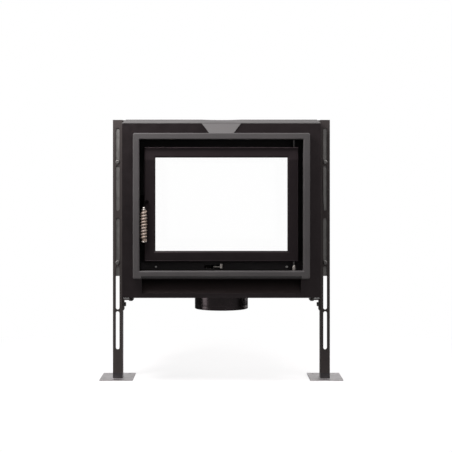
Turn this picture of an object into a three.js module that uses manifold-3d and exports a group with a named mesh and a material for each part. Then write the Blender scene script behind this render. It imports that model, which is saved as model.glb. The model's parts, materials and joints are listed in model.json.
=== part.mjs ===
// Fireplace insert: a see-through firebox in a steel casing, on two adjustable slotted legs.
// Millimetres, +Z up, front towards -Y, origin on the floor under the middle of the insert.
import * as THREE from 'three';
import Module from 'manifold-3d';
import { mergeVertices } from 'three/addons/utils/BufferGeometryUtils.js';

const wasm = await Module();
wasm.setup();

// Sizes shared by the whole insert
const fit = 0.3; // gap between pieces that touch
const over = 1; // overrun of a cut past the faces it opens
const sheet = 2; // casing sheet
const barSheet = 3; // legs, uprights, brackets and base plate
const bodyDepth = 380; // front panel face to rear panel face
const bodyBottom = 240.5; // underside of the base plate above the floor

// Window and door
const windowWidth = 352;
const windowHeight = 248.5;
const doorStile = 29;
const doorRail = 28;
const doorDepth = 22;
const doorSetback = 1; // door face behind the panel face
const windowLip = 6; // thickness of the door's front flange
const windowBevel = 5;
const windowBevelDepth = 3;
const doorEdgeBevel = 2;
const glassThick = 4;
const glassLap = 4.7; // glass hidden behind the door's flange, each side
const retainerThick = 8;
const retainerInset = 1; // retainer opening outside the window's edge
const sealInset = 7; // rope seal's inner edge outside the window's edge
const sealWidth = 7;
const sealGroove = 5;
const sealGap = 5; // door back to firebox face

// Recess around the door, and the raised frame
const recessSide = 12;
const recessTop = 19.4;
const recessBottom = 23.9;
const frameProud = 25;
const frameBar = 17.2;
const frameFoot = 21.4; // height of the frame's bottom bar
const frameSheet = 2.5;
const frameCorner = 5;
const frameDrip = 7.5; // bevel along the bottom bar's lower edge
const panelBelow = 52; // panel under the frame
const panelAbove = 26.5; // panel over the frame
const panelSide = 30.1; // panel beside the frame
const panelReturn = 15;

// Derived levels and places
const recessFloor = bodyBottom + panelBelow + frameFoot;
const doorBottom = recessFloor + recessBottom;
const windowBottom = doorBottom + doorRail;
const windowTop = windowBottom + windowHeight;
const doorTop = windowTop + doorRail;
const recessRoof = doorTop + recessTop;
const frameTop = recessRoof + frameBar;
const panelTop = frameTop + panelAbove;
const halfWindow = windowWidth / 2;
const halfDoor = halfWindow + doorStile;
const halfRecess = halfDoor + recessSide;
const halfFrame = halfRecess + frameBar;
const halfPanel = halfFrame + panelSide;
const halfDepth = bodyDepth / 2;
const frameFace = -halfDepth - frameProud;
const doorFace = -halfDepth + doorSetback;
const doorBack = doorFace + doorDepth;
const fireFace = doorBack + sealGap; // front face of the firebox

// Firebox
const fireWall = 5;
const fireBelow = 13.9; // firebox floor under the recess floor
const fireAbove = 32.3; // firebox roof over the recess roof
const frontOpeningGap = 5; // firebox mouth outside the window's edge
const rearWider = 26; // rear opening wider than the window, each side
const rearLower = 27;
const rearHigher = 14.5;
const liningThick = 25;
const hearthThick = 32;
const frontChannel = 32; // air channel between the firebox face and the hearth slab
const baffleThick = 21;
const baffleRise = 13; // baffle rails over the rear opening
const fireHalfDepth = -fireFace;
const fireBottom = recessFloor - fireBelow;
const fireTop = recessRoof + fireAbove;
const rearOpeningHalf = halfWindow + rearWider;
const rearOpeningBottom = windowBottom - rearLower;
const rearOpeningTop = windowTop + rearHigher;
const fireInnerHalf = rearOpeningHalf + liningThick + 2 * fit;
const fireHalfWidth = fireInnerHalf + fireWall;
const baffleBottom = rearOpeningTop + baffleRise;
const baffleGap = 45; // smoke way in front of and behind the baffle
const railThick = 4;
const railWidth = 16;
const grateLong = 200;
const grateDeep = 120;
const grateThick = 9;
const grateSlots = 9;
const grateSlotWide = 10;
const grateRim = 12;
const ashHeight = 20;

// Flue collar and hood
const flueBore = 150;
const flueWall = 5;
const collarSink = 3; // collar's rim under the hood's top
const collarFlange = 14;
const hoodRise = 15.5; // height gained from the panel's top edge to the flat middle
const hoodFlat = 124; // depth of the flat middle
const tabTopWidth = 105;
const tabBottomWidth = 65;
const hoodHoleGap = 2;

// Air supply
const spigotWidth = 150;
const spigotWall = 2;
const spigotDrop = 46.5;
const spigotFlange = 12;
const airBoxSide = 8; // room beside the damper at the end of its travel
const airBoxBehind = 5; // room behind the spigot
const damperThick = 3;
const damperEdge = 12;
const damperDeep = 30;
const damperTravel = 20;
const airHoles = 4;
const airHoleWide = 36;
const airHoleDeep = 16;
const guideBar = 5;
const leverRod = 4;
const leverStart = -21;
const leverUp = 8.1; // rod over the recess floor
const knobWidth = 8;
const knobHigh = 12.7;
const knobReach = 10; // knob's axis in front of the firebox face
const slotWide = 424; // air slot under the frame
const slotHigh = 38;
const slotUnder = 2;
const rampBack = 22; // depth of the ramp behind the slot
const rampFlange = 8;

// Hinge, latch and handle
const hingeInset = 10.6; // hinge axis inside the door's edge
const hingePin = 6;
const hingeCollar = 10;
const hingePinInDoor = 12;
const upperPin = 5.4;
const runGap = 0.3; // radial clearance of pins and spindles
const spindleWidth = 8;
const spindleInset = 7; // spindle axis inside the door's other edge
const spindleUp = 159.2; // spindle over the door's bottom edge
const spindleNose = 8; // spindle in front of the door's face
const stemWidth = 5;
const gripForward = 12.5; // grip axis in front of the door's face
const gripAside = 8; // grip axis outside the spindle's axis
const beadWidth = 9;
const beadDrop = 18;
const gripDrop = 22.5; // grip's upper seat under the spindle
const gripLong = 83;
const capThick = 3;
const coilWire = 5.2;
const coilTurns = 9;
const coilOuter = 18.3;
const coilTaper = 1.1; // smaller radius at the coil's two ends
const camThick = 3;
const camReach = 16;
const camWide = 12;
const keeperThick = 3;
const keeperHigh = 34;
const keeperGap = 1.5; // keeper to the door's edge

// Legs
const legGap = 11.2; // leg beside the panel
const legWide = 26.5;
const legDeep = 34;
const legForward = 49; // leg's face in front of the middle
const shoeHigh = 15;
const slotWidth = 10;
const slotStart = 84;
const slotHead = 23.4; // leg over its highest slot
const slotShares = [0.1828, 0.2086, 0.2217, 0.2163, 0.1706];
const bridge = 5;
const wideBridge = 20.6;
const legTravel = 85;
const footInner = 30;
const footOuter = 35.5;
const footAhead = 24; // plate in front of the leg's face
const footDeep = 125;
const footPlate = 3;
const footHole = 7;
const footHoleInset = 13;
const tongueHigh = 25;
const uprightUnder = 17; // upright under the leg's top
const uprightOver = 47.5; // upright over the base plate's underside
const uprightFlange = 24;
const clampBolt = 8;
const clampHead = 12.5;
const clampHeadHigh = 2.5;
const clampNut = 13.2;
const clampNutHigh = 6;
const sideBolt = 6;
const sideBush = 16;
const sideNut = 11.5;
const sideNutHigh = 5;
const sideShares = [0.235, 0.624]; // side bolts along the upright
const bracketDrop = 17; // bracket flange under the base plate
const bracketLong = 29.5;
const bracketTall = 31;
const bracketDeep = 28;
const bracketBolt = 6;
const screwWidth = 7;
const screwHigh = 3;

// Levels and places that follow
const hoodFlatLevel = panelTop + hoodRise;
const collarTop = hoodFlatLevel + sheet - collarSink;
const leverLevel = recessFloor + leverUp;
const spindleLevel = doorBottom + spindleUp;
const beadLevel = spindleLevel - beadDrop;
const gripTop = spindleLevel - gripDrop;
const gripBottom = gripTop - gripLong;
const keeperWide = recessSide - keeperGap;
const legInner = halfPanel + legGap;
const legFace = -legForward;
const legTop = hoodFlatLevel + sheet;
const uprightTop = legTop - uprightUnder;
const uprightBottom = bodyBottom + uprightOver;
const sideLevels = sideShares.map((share) => uprightBottom + share * (uprightTop - uprightBottom));

// Rear glass
const rearGlassLap = 8;
const rearSeal = 3;
const rearRim = 4;

// Smoothness
const fine = 40;
const middling = 16;
const coarse = 12;
const hexSides = 6;

// Materials
function paint(color, roughness, metalness) {
  return new THREE.MeshStandardMaterial({ color, roughness, metalness });
}
const looks = {
  panel: () => paint(0x2c2829, 0.55, 0.2),
  hood: () => paint(0x8e8c8c, 0.5, 0.6),
  frame: () => paint(0x5f5b5a, 0.5, 0.5),
  black: () => paint(0x161414, 0.7, 0.2),
  door: () => paint(0x2b2628, 0.45, 0.3),
  leg: () => paint(0x3c3838, 0.55, 0.3),
  zinc: () => paint(0xb6b2ae, 0.4, 0.9),
  brass: () => paint(0xa89a84, 0.35, 0.9),
  glass: () => {
    const clear = paint(0xffffff, 0.05, 0);
    clear.transparent = true;
    clear.opacity = 0.2;
    return clear;
  },
  brick: () => paint(0xb9a27c, 0.95, 0),
  iron: () => paint(0x2a2a2a, 0.8, 0.4),
  rope: () => paint(0x9c9890, 1, 0),
  steel: () => paint(0x3a3a3c, 0.6, 0.6),
};

// A closed solid from a three.js geometry
function solid(geometry) {
  const bare = geometry.clone();
  bare.deleteAttribute('normal');
  bare.deleteAttribute('uv');
  const merged = mergeVertices(bare, fit / 1000);
  const vertProperties = new Float32Array(merged.attributes.position.array);
  const triVerts = new Uint32Array(merged.index.array);
  return new wasm.Manifold(new wasm.Mesh({ numProp: 3, vertProperties, triVerts }));
}

// A named mesh from a solid
const insert = new THREE.Group();
function keep(name, body, look) {
  const mesh = body.getMesh();
  const geometry = new THREE.BufferGeometry();
  geometry.setAttribute('position', new THREE.BufferAttribute(new Float32Array(mesh.vertProperties), 3));
  geometry.setIndex(new THREE.BufferAttribute(new Uint32Array(mesh.triVerts), 1));
  geometry.computeVertexNormals();
  const piece = new THREE.Mesh(geometry, looks[look]());
  piece.name = name;
  insert.add(piece);
  return piece;
}

// A box from its lowest to its highest corner
function box(x0, y0, z0, x1, y1, z1) {
  const geometry = new THREE.BoxGeometry(x1 - x0, y1 - y0, z1 - z0);
  geometry.translate((x0 + x1) / 2, (y0 + y1) / 2, (z0 + z1) / 2);
  return solid(geometry);
}

// A block that is the same on both sides of X
const wideBox = (half, y0, z0, y1, z1) => box(-half, y0, z0, half, y1, z1);

// A round bar between two heights on a vertical axis, or along X or Y
function bar(axis, radius, from, to, a, b, sides = coarse) {
  const geometry = new THREE.CylinderGeometry(radius, radius, to - from, sides);
  if (axis === 'z') geometry.rotateX(Math.PI / 2);
  if (axis === 'x') geometry.rotateZ(Math.PI / 2);
  const middle = (from + to) / 2;
  if (axis === 'z') geometry.translate(a, b, middle);
  if (axis === 'y') geometry.translate(a, middle, b);
  if (axis === 'x') geometry.translate(middle, a, b);
  return solid(geometry);
}

// A prism whose outline lies in the XZ plane, from one depth to another
function prismY(outline, y0, y1) {
  const geometry = new THREE.ExtrudeGeometry(outline, {
    depth: y1 - y0, bevelEnabled: false, curveSegments: 3,
  });
  geometry.rotateX(Math.PI / 2);
  geometry.translate(0, y1, 0);
  return solid(geometry);
}

// A prism whose outline (depth, height) lies in the YZ plane, from one side to another
function prismX(points, x0, x1) {
  const outline = new THREE.Shape(points.map(([y, z]) => new THREE.Vector2(y, z)));
  const geometry = new THREE.ExtrudeGeometry(outline, { depth: x1 - x0, bevelEnabled: false });
  geometry.applyMatrix4(new THREE.Matrix4().makeBasis(
    new THREE.Vector3(0, 1, 0), new THREE.Vector3(0, 0, 1), new THREE.Vector3(1, 0, 0)));
  geometry.translate(x0, 0, 0);
  return solid(geometry);
}

// A rectangle with rounded corners in the XZ plane
function rounded(half, z0, z1, radius) {
  const shape = new THREE.Shape();
  shape.moveTo(-half + radius, z0);
  shape.lineTo(half - radius, z0);
  shape.absarc(half - radius, z0 + radius, radius, -Math.PI / 2, 0, false);
  shape.lineTo(half, z1 - radius);
  shape.absarc(half - radius, z1 - radius, radius, 0, Math.PI / 2, false);
  shape.lineTo(-half + radius, z1);
  shape.absarc(-half + radius, z1 - radius, radius, Math.PI / 2, Math.PI, false);
  shape.lineTo(-half, z0 + radius);
  shape.absarc(-half + radius, z0 + radius, radius, Math.PI, 3 * Math.PI / 2, false);
  return shape;
}

// A block whose rectangle changes from one depth to the next, for bevels
function taper(y0, half0, bottom0, top0, y1, half1, bottom1, top1) {
  const corners = [
    -half0, y0, bottom0, half0, y0, bottom0, half0, y0, top0, -half0, y0, top0,
    -half1, y1, bottom1, half1, y1, bottom1, half1, y1, top1, -half1, y1, top1,
  ];
  const faces = [
    0, 1, 2, 0, 2, 3, 5, 4, 7, 5, 7, 6, 1, 5, 6, 1, 6, 2,
    4, 0, 3, 4, 3, 7, 3, 2, 6, 3, 6, 7, 4, 5, 1, 4, 1, 0,
  ];
  const geometry = new THREE.BufferGeometry();
  geometry.setAttribute('position', new THREE.BufferAttribute(new Float32Array(corners), 3));
  geometry.setIndex(faces);
  return solid(geometry);
}

// A flat ring in the XZ plane: outer rectangle less inner rectangle
function ring(y0, y1, outerHalf, outerBottom, outerTop, innerHalf, innerBottom, innerTop) {
  const outer = wideBox(outerHalf, y0, outerBottom, y1, outerTop);
  return outer.subtract(wideBox(innerHalf, y0 - over, innerBottom, y1 + over, innerTop));
}

const join = (...parts) => parts.reduce((whole, part) => whole.add(part));
const cut = (whole, ...parts) => parts.reduce((rest, part) => rest.subtract(part), whole);
const mirrorY = (body) => body.mirror([0, 1, 0]);
const mirrorX = (body) => body.mirror([1, 0, 0]);

// Roof line that the hood follows, as depth and height
function roofLine(lift) {
  return [
    [-halfDepth, panelTop + lift], [-hoodFlat / 2, hoodFlatLevel + lift],
    [hoodFlat / 2, hoodFlatLevel + lift], [halfDepth, panelTop + lift],
  ];
}

// Panels: a sheet with folded sides, and a way through for the recess liner
function panelSheet() {
  const back = -halfDepth + sheet;
  const skin = wideBox(halfPanel, -halfDepth, bodyBottom, back, panelTop - fit);
  const inner = halfPanel - sheet;
  const right = box(inner, -halfDepth, bodyBottom, halfPanel, -halfDepth + panelReturn, panelTop - fit);
  const way = wideBox(halfRecess + sheet + fit, -halfDepth - over, recessFloor - sheet - fit,
    back + over, recessRoof + sheet + fit);
  return cut(join(skin, right, mirrorX(right)), way);
}
const slotBottom = bodyBottom + panelBelow - slotUnder - slotHigh;
const slotTop = slotBottom + slotHigh;
const airSlot = wideBox(slotWide / 2, -halfDepth - over, slotBottom, -halfDepth + sheet + over, slotTop);
keep('front_panel', cut(panelSheet(), airSlot), 'panel');
keep('rear_panel', mirrorY(panelSheet()), 'panel');

// Ramp behind the air slot, folded back and up from the slot's lower edge
const rampFront = -halfDepth + sheet + fit;
keep('air_ramp', prismX([
  [rampFront, slotBottom - rampFlange], [rampFront + sheet, slotBottom - rampFlange],
  [rampFront + sheet, slotBottom], [rampFront + rampBack, slotTop],
  [rampFront + rampBack - sheet, slotTop], [rampFront, slotBottom],
], -slotWide / 2 - rampFlange, slotWide / 2 + rampFlange), 'panel');

// Raised frame: a channel bent round the opening, open at the back
function frameRing() {
  const back = -halfDepth - fit;
  const bottom = recessFloor - frameFoot;
  const outline = rounded(halfFrame, bottom, frameTop, frameCorner);
  outline.holes.push(rounded(halfRecess, recessFloor, recessRoof, frameSheet));
  const block = prismY(outline, frameFace, back);
  const hollowOutline = rounded(halfFrame - frameSheet, bottom + frameSheet, frameTop - frameSheet,
    frameSheet);
  hollowOutline.holes.push(rounded(halfRecess + frameSheet, recessFloor - frameSheet,
    recessRoof + frameSheet, frameCorner));
  const hollow = prismY(hollowOutline, frameFace + frameDrip, back + over);
  const drip = prismX([
    [frameFace - over, bottom - over], [frameFace - over, bottom + frameDrip - sheet + over],
    [frameFace + frameDrip - sheet + over, bottom - over],
  ], -slotWide / 2, slotWide / 2);
  return cut(block, hollow, drip);
}
keep('front_frame', frameRing(), 'frame');
keep('rear_frame', mirrorY(frameRing()), 'frame');

// Recess liners: sleeves from the frames in to the firebox
function liner() {
  return ring(-halfDepth, fireFace - fit, halfRecess + sheet, recessFloor - sheet,
    recessRoof + sheet, halfRecess, recessFloor, recessRoof);
}
keep('front_recess_liner', liner(), 'black');
keep('rear_recess_liner', mirrorY(liner()), 'black');

// Casing sides and base plate
const casingOuter = halfPanel - sheet - fit;
const casingDepth = halfDepth - sheet - fit;
const casingRoof = roofLine(-fit).reverse().map(([y, z]) => (
  [Math.max(-casingDepth, Math.min(casingDepth, y)), z]));
const casingSide = prismX([[-casingDepth, bodyBottom], [casingDepth, bodyBottom], ...casingRoof],
  casingOuter - sheet, casingOuter);
const boltY = legFace + legDeep / 2 + barSheet; // one line for the side bolts and the brackets
const sideBoltHoles = sideLevels.map((z) => bar('x', sideBolt / 2 + fit,
  casingOuter - sheet - over, casingOuter + over, boltY, z));
const casingRight = cut(casingSide, ...sideBoltHoles);
keep('casing_right', casingRight, 'panel');
keep('casing_left', mirrorX(casingRight), 'panel');
const baseHalf = casingOuter - sheet - fit;
const baseTop = bodyBottom + barSheet;
const bracketInner = legInner - fit - bracketLong;
const bracketBoltX = bracketInner + sideNut / 2 + sheet;
const baseBoltHole = bar('z', bracketBolt / 2 + fit, bodyBottom - over, baseTop + over,
  bracketBoltX, boltY);
const base = cut(wideBox(baseHalf, -casingDepth, bodyBottom, casingDepth, baseTop),
  bar('z', spigotWidth / 2 + fit, bodyBottom - over, baseTop + over, 0, 0, fine),
  baseBoltHole, mirrorX(baseBoltHole));
keep('base_plate', base, 'panel');

// Top hood: one sheet folded over the roof, with a tab down the middle of the front panel
const hoodSheet = prismX([...roofLine(0), ...roofLine(sheet).reverse()], -halfPanel, halfPanel);
const hoodHole = bar('z', flueBore / 2 + flueWall + hoodHoleGap,
  panelTop - over, hoodFlatLevel + sheet + over, 0, 0, fine);
const tab = new THREE.Shape();
tab.moveTo(-tabTopWidth / 2, panelTop);
tab.lineTo(-tabBottomWidth / 2, frameTop + fit);
tab.lineTo(tabBottomWidth / 2, frameTop + fit);
tab.lineTo(tabTopWidth / 2, panelTop);
tab.lineTo(tabTopWidth / 2, panelTop + sheet);
tab.lineTo(-tabTopWidth / 2, panelTop + sheet);
const tabBack = -halfDepth - fit;
const tabRoot = wideBox(tabTopWidth / 2, tabBack - sheet, panelTop, -halfDepth + sheet, panelTop + sheet);
keep('top_hood', join(cut(hoodSheet, hoodHole), tabRoot, prismY(tab, tabBack - sheet, tabBack)), 'hood');

// Firebox: a welded steel box with a mouth at each end, a flue hole and an air inlet row
const mouthHalf = halfWindow + frontOpeningGap;
const mouthBottom = windowBottom - frontOpeningGap;
const mouthTop = windowTop + frontOpeningGap;
const fireInnerFront = fireFace + fireWall;
const channelY = fireInnerFront + frontChannel / 2;
const airPitch = 2 * damperTravel + airHoleWide;
const airPlaces = Array.from({ length: airHoles }, (_, i) => (i - (airHoles - 1) / 2) * airPitch);
const damperHalf = airPlaces[airHoles - 1] + airHoleWide / 2 + damperTravel + damperEdge;
const airBoxHalf = damperHalf + damperTravel + airBoxSide;
const airHole = (x, z0, z1) => box(x - airHoleWide / 2, channelY - airHoleDeep / 2, z0,
  x + airHoleWide / 2, channelY + airHoleDeep / 2, z1);
const leverSlot = leverRod + 2 * fit;
let fireBody = wideBox(fireHalfWidth, fireFace, fireBottom, fireHalfDepth, fireTop);
fireBody = cut(fireBody,
  wideBox(fireInnerHalf, fireInnerFront, fireBottom + fireWall,
    fireHalfDepth - fireWall, fireTop - fireWall),
  wideBox(mouthHalf, fireFace - over, mouthBottom, fireInnerFront + over, mouthTop),
  wideBox(rearOpeningHalf, fireHalfDepth - fireWall - over, rearOpeningBottom,
    fireHalfDepth + over, rearOpeningTop),
  bar('z', flueBore / 2, fireTop - fireWall - over, fireTop + over, 0, 0, fine),
  box(leverStart - damperTravel - leverSlot, fireFace - over, leverLevel - leverSlot,
    leverStart + damperTravel + leverSlot, fireInnerFront + over, leverLevel + leverSlot),
  ...airPlaces.map((x) => airHole(x, fireBottom - over, fireBottom + fireWall + over)));
const rodSlot = box(leverStart - damperTravel - leverSlot, channelY - leverSlot, fireBottom - over,
  leverStart + damperTravel + leverSlot, channelY + leverSlot, fireBottom + fireWall + over);
keep('firebox_body', cut(fireBody, rodSlot), 'steel');

// Linings, hearth slab, grate and ash pan
const liningInner = fireInnerHalf - fit - liningThick;
const slabFront = fireInnerFront + frontChannel;
const slabBack = fireHalfDepth - fireWall - fit;
const liningRight = box(liningInner, fireInnerFront + fit, fireBottom + fireWall + fit, fireInnerHalf - fit,
  slabBack, baffleBottom - fit);
keep('lining_right', liningRight, 'brick');
keep('lining_left', mirrorX(liningRight), 'brick');
const slabBottom = fireBottom + fireWall + fit;
const slabHalf = liningInner - fit;
const hearthTop = slabBottom + hearthThick;
const wellHalf = grateLong / 2;
const hearth = cut(wideBox(slabHalf, slabFront, slabBottom, slabBack, hearthTop),
  wideBox(wellHalf + fit, -grateDeep / 2 - fit, slabBottom - over, grateDeep / 2 + fit, hearthTop + over));
keep('hearth_slab', hearth, 'brick');
const panTop = slabBottom + ashHeight;
const ashPan = cut(wideBox(wellHalf, -grateDeep / 2, slabBottom, grateDeep / 2, panTop),
  wideBox(wellHalf - sheet, -grateDeep / 2 + sheet, slabBottom + sheet,
    grateDeep / 2 - sheet, panTop + over));
keep('ash_pan', ashPan, 'steel');
const grateBottom = panTop + fit;
const slotPitch = (grateLong - 2 * grateRim) / grateSlots;
const grateCuts = Array.from({ length: grateSlots }, (_, i) => {
  const x = (i - (grateSlots - 1) / 2) * slotPitch;
  return box(x - grateSlotWide / 2, -grateDeep / 2 + grateRim, grateBottom - over,
    x + grateSlotWide / 2, grateDeep / 2 - grateRim, grateBottom + grateThick + over);
});
const grateBlock = wideBox(wellHalf, -grateDeep / 2, grateBottom,
  grateDeep / 2, grateBottom + grateThick);
keep('grate', cut(grateBlock, ...grateCuts), 'iron');

// Baffle on two rails under the roof
const railOuter = fireInnerHalf - fit;
const railHalfDepth = fireHalfDepth - fireWall - baffleGap;
const rail = join(
  box(railOuter - railWidth - liningThick, -railHalfDepth, baffleBottom,
    railOuter, railHalfDepth, baffleBottom + railThick),
  box(railOuter - railThick, -railHalfDepth, baffleBottom,
    railOuter, railHalfDepth, baffleBottom + railThick + baffleThick));
keep('baffle_rail_right', rail, 'steel');
keep('baffle_rail_left', mirrorX(rail), 'steel');
const baffleHalf = railOuter - railThick - fit;
const baffleLevel = baffleBottom + railThick + fit;
keep('baffle_plate', wideBox(baffleHalf, -railHalfDepth, baffleLevel,
  railHalfDepth, baffleLevel + baffleThick), 'brick');

// Flue collar standing on the firebox roof inside the hood's hole
const collarFoot = fireTop + fit;
const collarOuter = flueBore / 2 + flueWall;
const collar = cut(
  join(bar('z', collarOuter, collarFoot, collarTop, 0, 0, fine),
    bar('z', collarOuter + collarFlange, collarFoot, collarFoot + flueWall, 0, 0, fine)),
  bar('z', flueBore / 2, collarFoot - over, collarTop + over, 0, 0, fine));
keep('flue_collar', collar, 'iron');

// Air box under the firebox, with the spigot below it
const boxFloor = baseTop + fit;
const boxTop = fireBottom - fit;
const boxFront = fireInnerFront;
const boxBack = spigotWidth / 2 + airBoxBehind;
const damperBottom = boxTop - damperThick;
const guideTop = damperBottom - fit;
const guideHigh = 2 * guideBar;
const damperFront = channelY - damperDeep / 2;
const airTray = cut(wideBox(airBoxHalf, boxFront - sheet, boxFloor, boxBack, boxTop),
  wideBox(airBoxHalf - sheet, boxFront, boxFloor + sheet, boxBack - sheet, boxTop + over),
  bar('z', spigotWidth / 2 - spigotWall, boxFloor - over, boxFloor + sheet + over, 0, 0, fine));
const guide = (y) => wideBox(airBoxHalf - sheet / 2, y, guideTop - guideHigh, y + guideBar, guideTop);
keep('air_box', join(airTray, guide(damperFront), guide(damperFront + damperDeep - guideBar)), 'steel');
const spigotTop = boxFloor - fit;
const spigot = cut(
  join(bar('z', spigotWidth / 2, bodyBottom - spigotDrop, spigotTop, 0, 0, fine),
    bar('z', spigotWidth / 2 + spigotFlange, bodyBottom - fit - barSheet, bodyBottom - fit, 0, 0, fine)),
  bar('z', spigotWidth / 2 - spigotWall, bodyBottom - spigotDrop - over, spigotTop + over, 0, 0, fine));
keep('air_spigot', spigot, 'panel');

// Damper slide and its lever
const damperHoles = airPlaces.map((x) => airHole(x - damperTravel, damperBottom - over, boxTop + over));
const rodHole = bar('z', leverRod / 2 + fit, damperBottom - over, boxTop + over, leverStart, channelY);
const damper = wideBox(damperHalf, damperFront + fit, damperBottom,
  damperFront + damperDeep - fit, boxTop);
keep('damper_plate', cut(damper, ...damperHoles, rodHole), 'steel');
const knobY = fireFace - knobReach;
const rodSegments = [
  ['z', guideTop - guideHigh / 2, leverLevel + leverRod / 2, leverStart, channelY],
  ['y', knobY - leverRod / 2, channelY + leverRod / 2, leverStart, leverLevel],
  ['x', leverStart - leverRod / 2, 0, knobY, leverLevel],
];
const rodBars = rodSegments.map(([axis, from, to, a, b]) => bar(axis, leverRod / 2, from, to, a, b));
const knobBottom = recessFloor + fit + (recessBottom - knobHigh) / 3;
const knob = bar('z', knobWidth / 2, knobBottom, knobBottom + knobHigh, 0, knobY);
keep('air_lever', join(...rodBars, knob), 'zinc');

// Door: a deep frame with a bevelled window, a rebate for the glass and a groove for the rope
const rebateHalf = halfWindow + glassLap + fit;
const rebateLow = windowBottom - glassLap - fit;
const rebateHigh = windowTop + glassLap + fit;
const sealHalf = halfWindow + sealInset;
const hingeX = halfDoor - hingeInset;
const hingeY = doorFace + doorDepth / 2;
const spindleX = -halfDoor + spindleInset;
const doorBlock = wideBox(halfDoor, doorFace + doorEdgeBevel, doorBottom, doorBack, doorTop);
const doorNose = taper(
  doorFace, halfDoor - doorEdgeBevel, doorBottom + doorEdgeBevel, doorTop - doorEdgeBevel,
  doorFace + doorEdgeBevel, halfDoor, doorBottom, doorTop);
const bevelEnd = doorFace + windowBevelDepth;
const doorCuts = [
  wideBox(halfWindow, doorFace - over, windowBottom, doorBack + over, windowTop),
  taper(doorFace, halfWindow + windowBevel, windowBottom - windowBevel, windowTop + windowBevel,
    bevelEnd, halfWindow, windowBottom, windowTop),
  wideBox(rebateHalf, doorFace + windowLip, rebateLow, doorBack + over, rebateHigh),
  ring(doorBack - sealGroove, doorBack + over, sealHalf + sealWidth, windowBottom - sealInset - sealWidth,
    windowTop + sealInset + sealWidth, sealHalf, windowBottom - sealInset, windowTop + sealInset),
  bar('z', hingePin / 2 + runGap, doorBottom - over, doorBottom + hingePinInDoor + over, hingeX, hingeY),
  bar('z', upperPin / 2 + runGap, doorTop - hingePinInDoor - over, doorTop + over, hingeX, hingeY),
  bar('y', spindleWidth / 2 + runGap, doorFace - over, doorBack + over, spindleX, spindleLevel),
];
keep('door_frame', cut(join(doorBlock, doorNose), ...doorCuts), 'door');
const glassFront = doorFace + windowLip + fit;
const glassBack = glassFront + glassThick;
keep('door_glass', wideBox(rebateHalf - fit, glassFront, rebateLow + fit,
  glassBack, rebateHigh - fit), 'glass');
keep('glass_retainer', ring(glassBack + fit, glassBack + fit + retainerThick,
  rebateHalf - fit, rebateLow + fit, rebateHigh - fit,
  halfWindow + retainerInset, windowBottom - retainerInset, windowTop + retainerInset), 'steel');
keep('door_seal', ring(doorBack - sealGroove + fit, fireFace - fit, sealHalf + sealWidth - fit,
  windowBottom - sealInset - sealWidth + fit, windowTop + sealInset + sealWidth - fit,
  sealHalf + fit, windowBottom - sealInset - fit, windowTop + sealInset + fit), 'rope');

// Hinge pins fixed in the recess floor and roof
const lowerPin = join(
  bar('z', hingeCollar / 2, recessFloor + fit, doorBottom - fit, hingeX, hingeY, middling),
  bar('z', hingePin / 2, recessFloor + recessBottom / 2, doorBottom + hingePinInDoor, hingeX, hingeY));
keep('hinge_pin_lower', lowerPin, 'zinc');
const upperHinge = bar('z', upperPin / 2, doorTop - hingePinInDoor, recessRoof - fit, hingeX, hingeY);
keep('hinge_pin_upper', upperHinge, 'steel');

// Handle: spindle with a swept stem, a bead, a coil grip and an end cap
const gripX = spindleX - gripAside;
const gripY = doorFace - gripForward;
const stemRadius = stemWidth / 2;
const spindleFront = doorFace - spindleNose;
const camBack = doorBack + fit + camThick;
const spindleBar = bar('y', spindleWidth / 2, spindleFront - spindleNose, camBack - camThick / 2,
  spindleX, spindleLevel, middling);
const stemPath = new THREE.CatmullRomCurve3([
  new THREE.Vector3(spindleX, gripY, spindleLevel + stemRadius),
  new THREE.Vector3(spindleX - gripAside / 4, gripY, spindleLevel - stemWidth),
  new THREE.Vector3(gripX, gripY, beadLevel),
  new THREE.Vector3(gripX, gripY, (beadLevel + gripBottom) / 2),
  new THREE.Vector3(gripX, gripY, gripBottom - capThick / 2),
]);
const section = new THREE.Shape().absarc(0, 0, stemRadius, 0, 2 * Math.PI, false);
const stemGeometry = new THREE.ExtrudeGeometry(section, {
  steps: 16, curveSegments: 5, extrudePath: stemPath, bevelEnabled: false,
});
const bead = new THREE.SphereGeometry(beadWidth / 2, coarse, coarse / 2);
bead.rotateX(Math.PI / 2);
bead.translate(gripX, gripY, beadLevel);
const capRadius = coilOuter / 2 - coilTaper;
const collarDisc = bar('z', capRadius - coilTaper, gripTop, gripTop + capThick, gripX, gripY, middling);
const capDisc = bar('z', capRadius, gripBottom - capThick, gripBottom, gripX, gripY, middling);
keep('handle_spindle', join(spindleBar, solid(stemGeometry), solid(bead), collarDisc, capDisc), 'zinc');

// Coil grip: one unbroken wire wound round the stem, with a straight end at the collar and at the cap
const coilSteps = 8; // steps a turn
const wireSides = 5;
const coilFlatness = 6; // how late the coil narrows towards its ends
const coilMean = coilOuter / 2 - coilWire / 2;
const endRun = coilWire;
const coilLow = gripBottom + fit + endRun;
const coilHigh = gripTop - fit - endRun;
const coilPitch = (coilHigh - coilLow) / coilTurns;
const coilPoints = [];
for (let i = 0; i <= coilTurns * coilSteps; i += 1) {
  const along = i / (coilTurns * coilSteps);
  const turn = 2 * Math.PI * i / coilSteps;
  const radius = coilMean - coilTaper * Math.abs(2 * along - 1) ** coilFlatness;
  const z = coilLow + along * (coilHigh - coilLow);
  coilPoints.push(new THREE.Vector3(gripX + radius * Math.cos(turn), gripY + radius * Math.sin(turn), z));
}
function wireRing(centre, inward, up) {
  return Array.from({ length: wireSides }, (_, k) => {
    const angle = 2 * Math.PI * k / wireSides;
    const point = centre.clone().addScaledVector(inward, Math.cos(angle) * coilWire / 2);
    return point.addScaledVector(up, Math.sin(angle) * coilWire / 2);
  });
}
const upward = new THREE.Vector3(0, 0, 1);
const rings = [];
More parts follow.
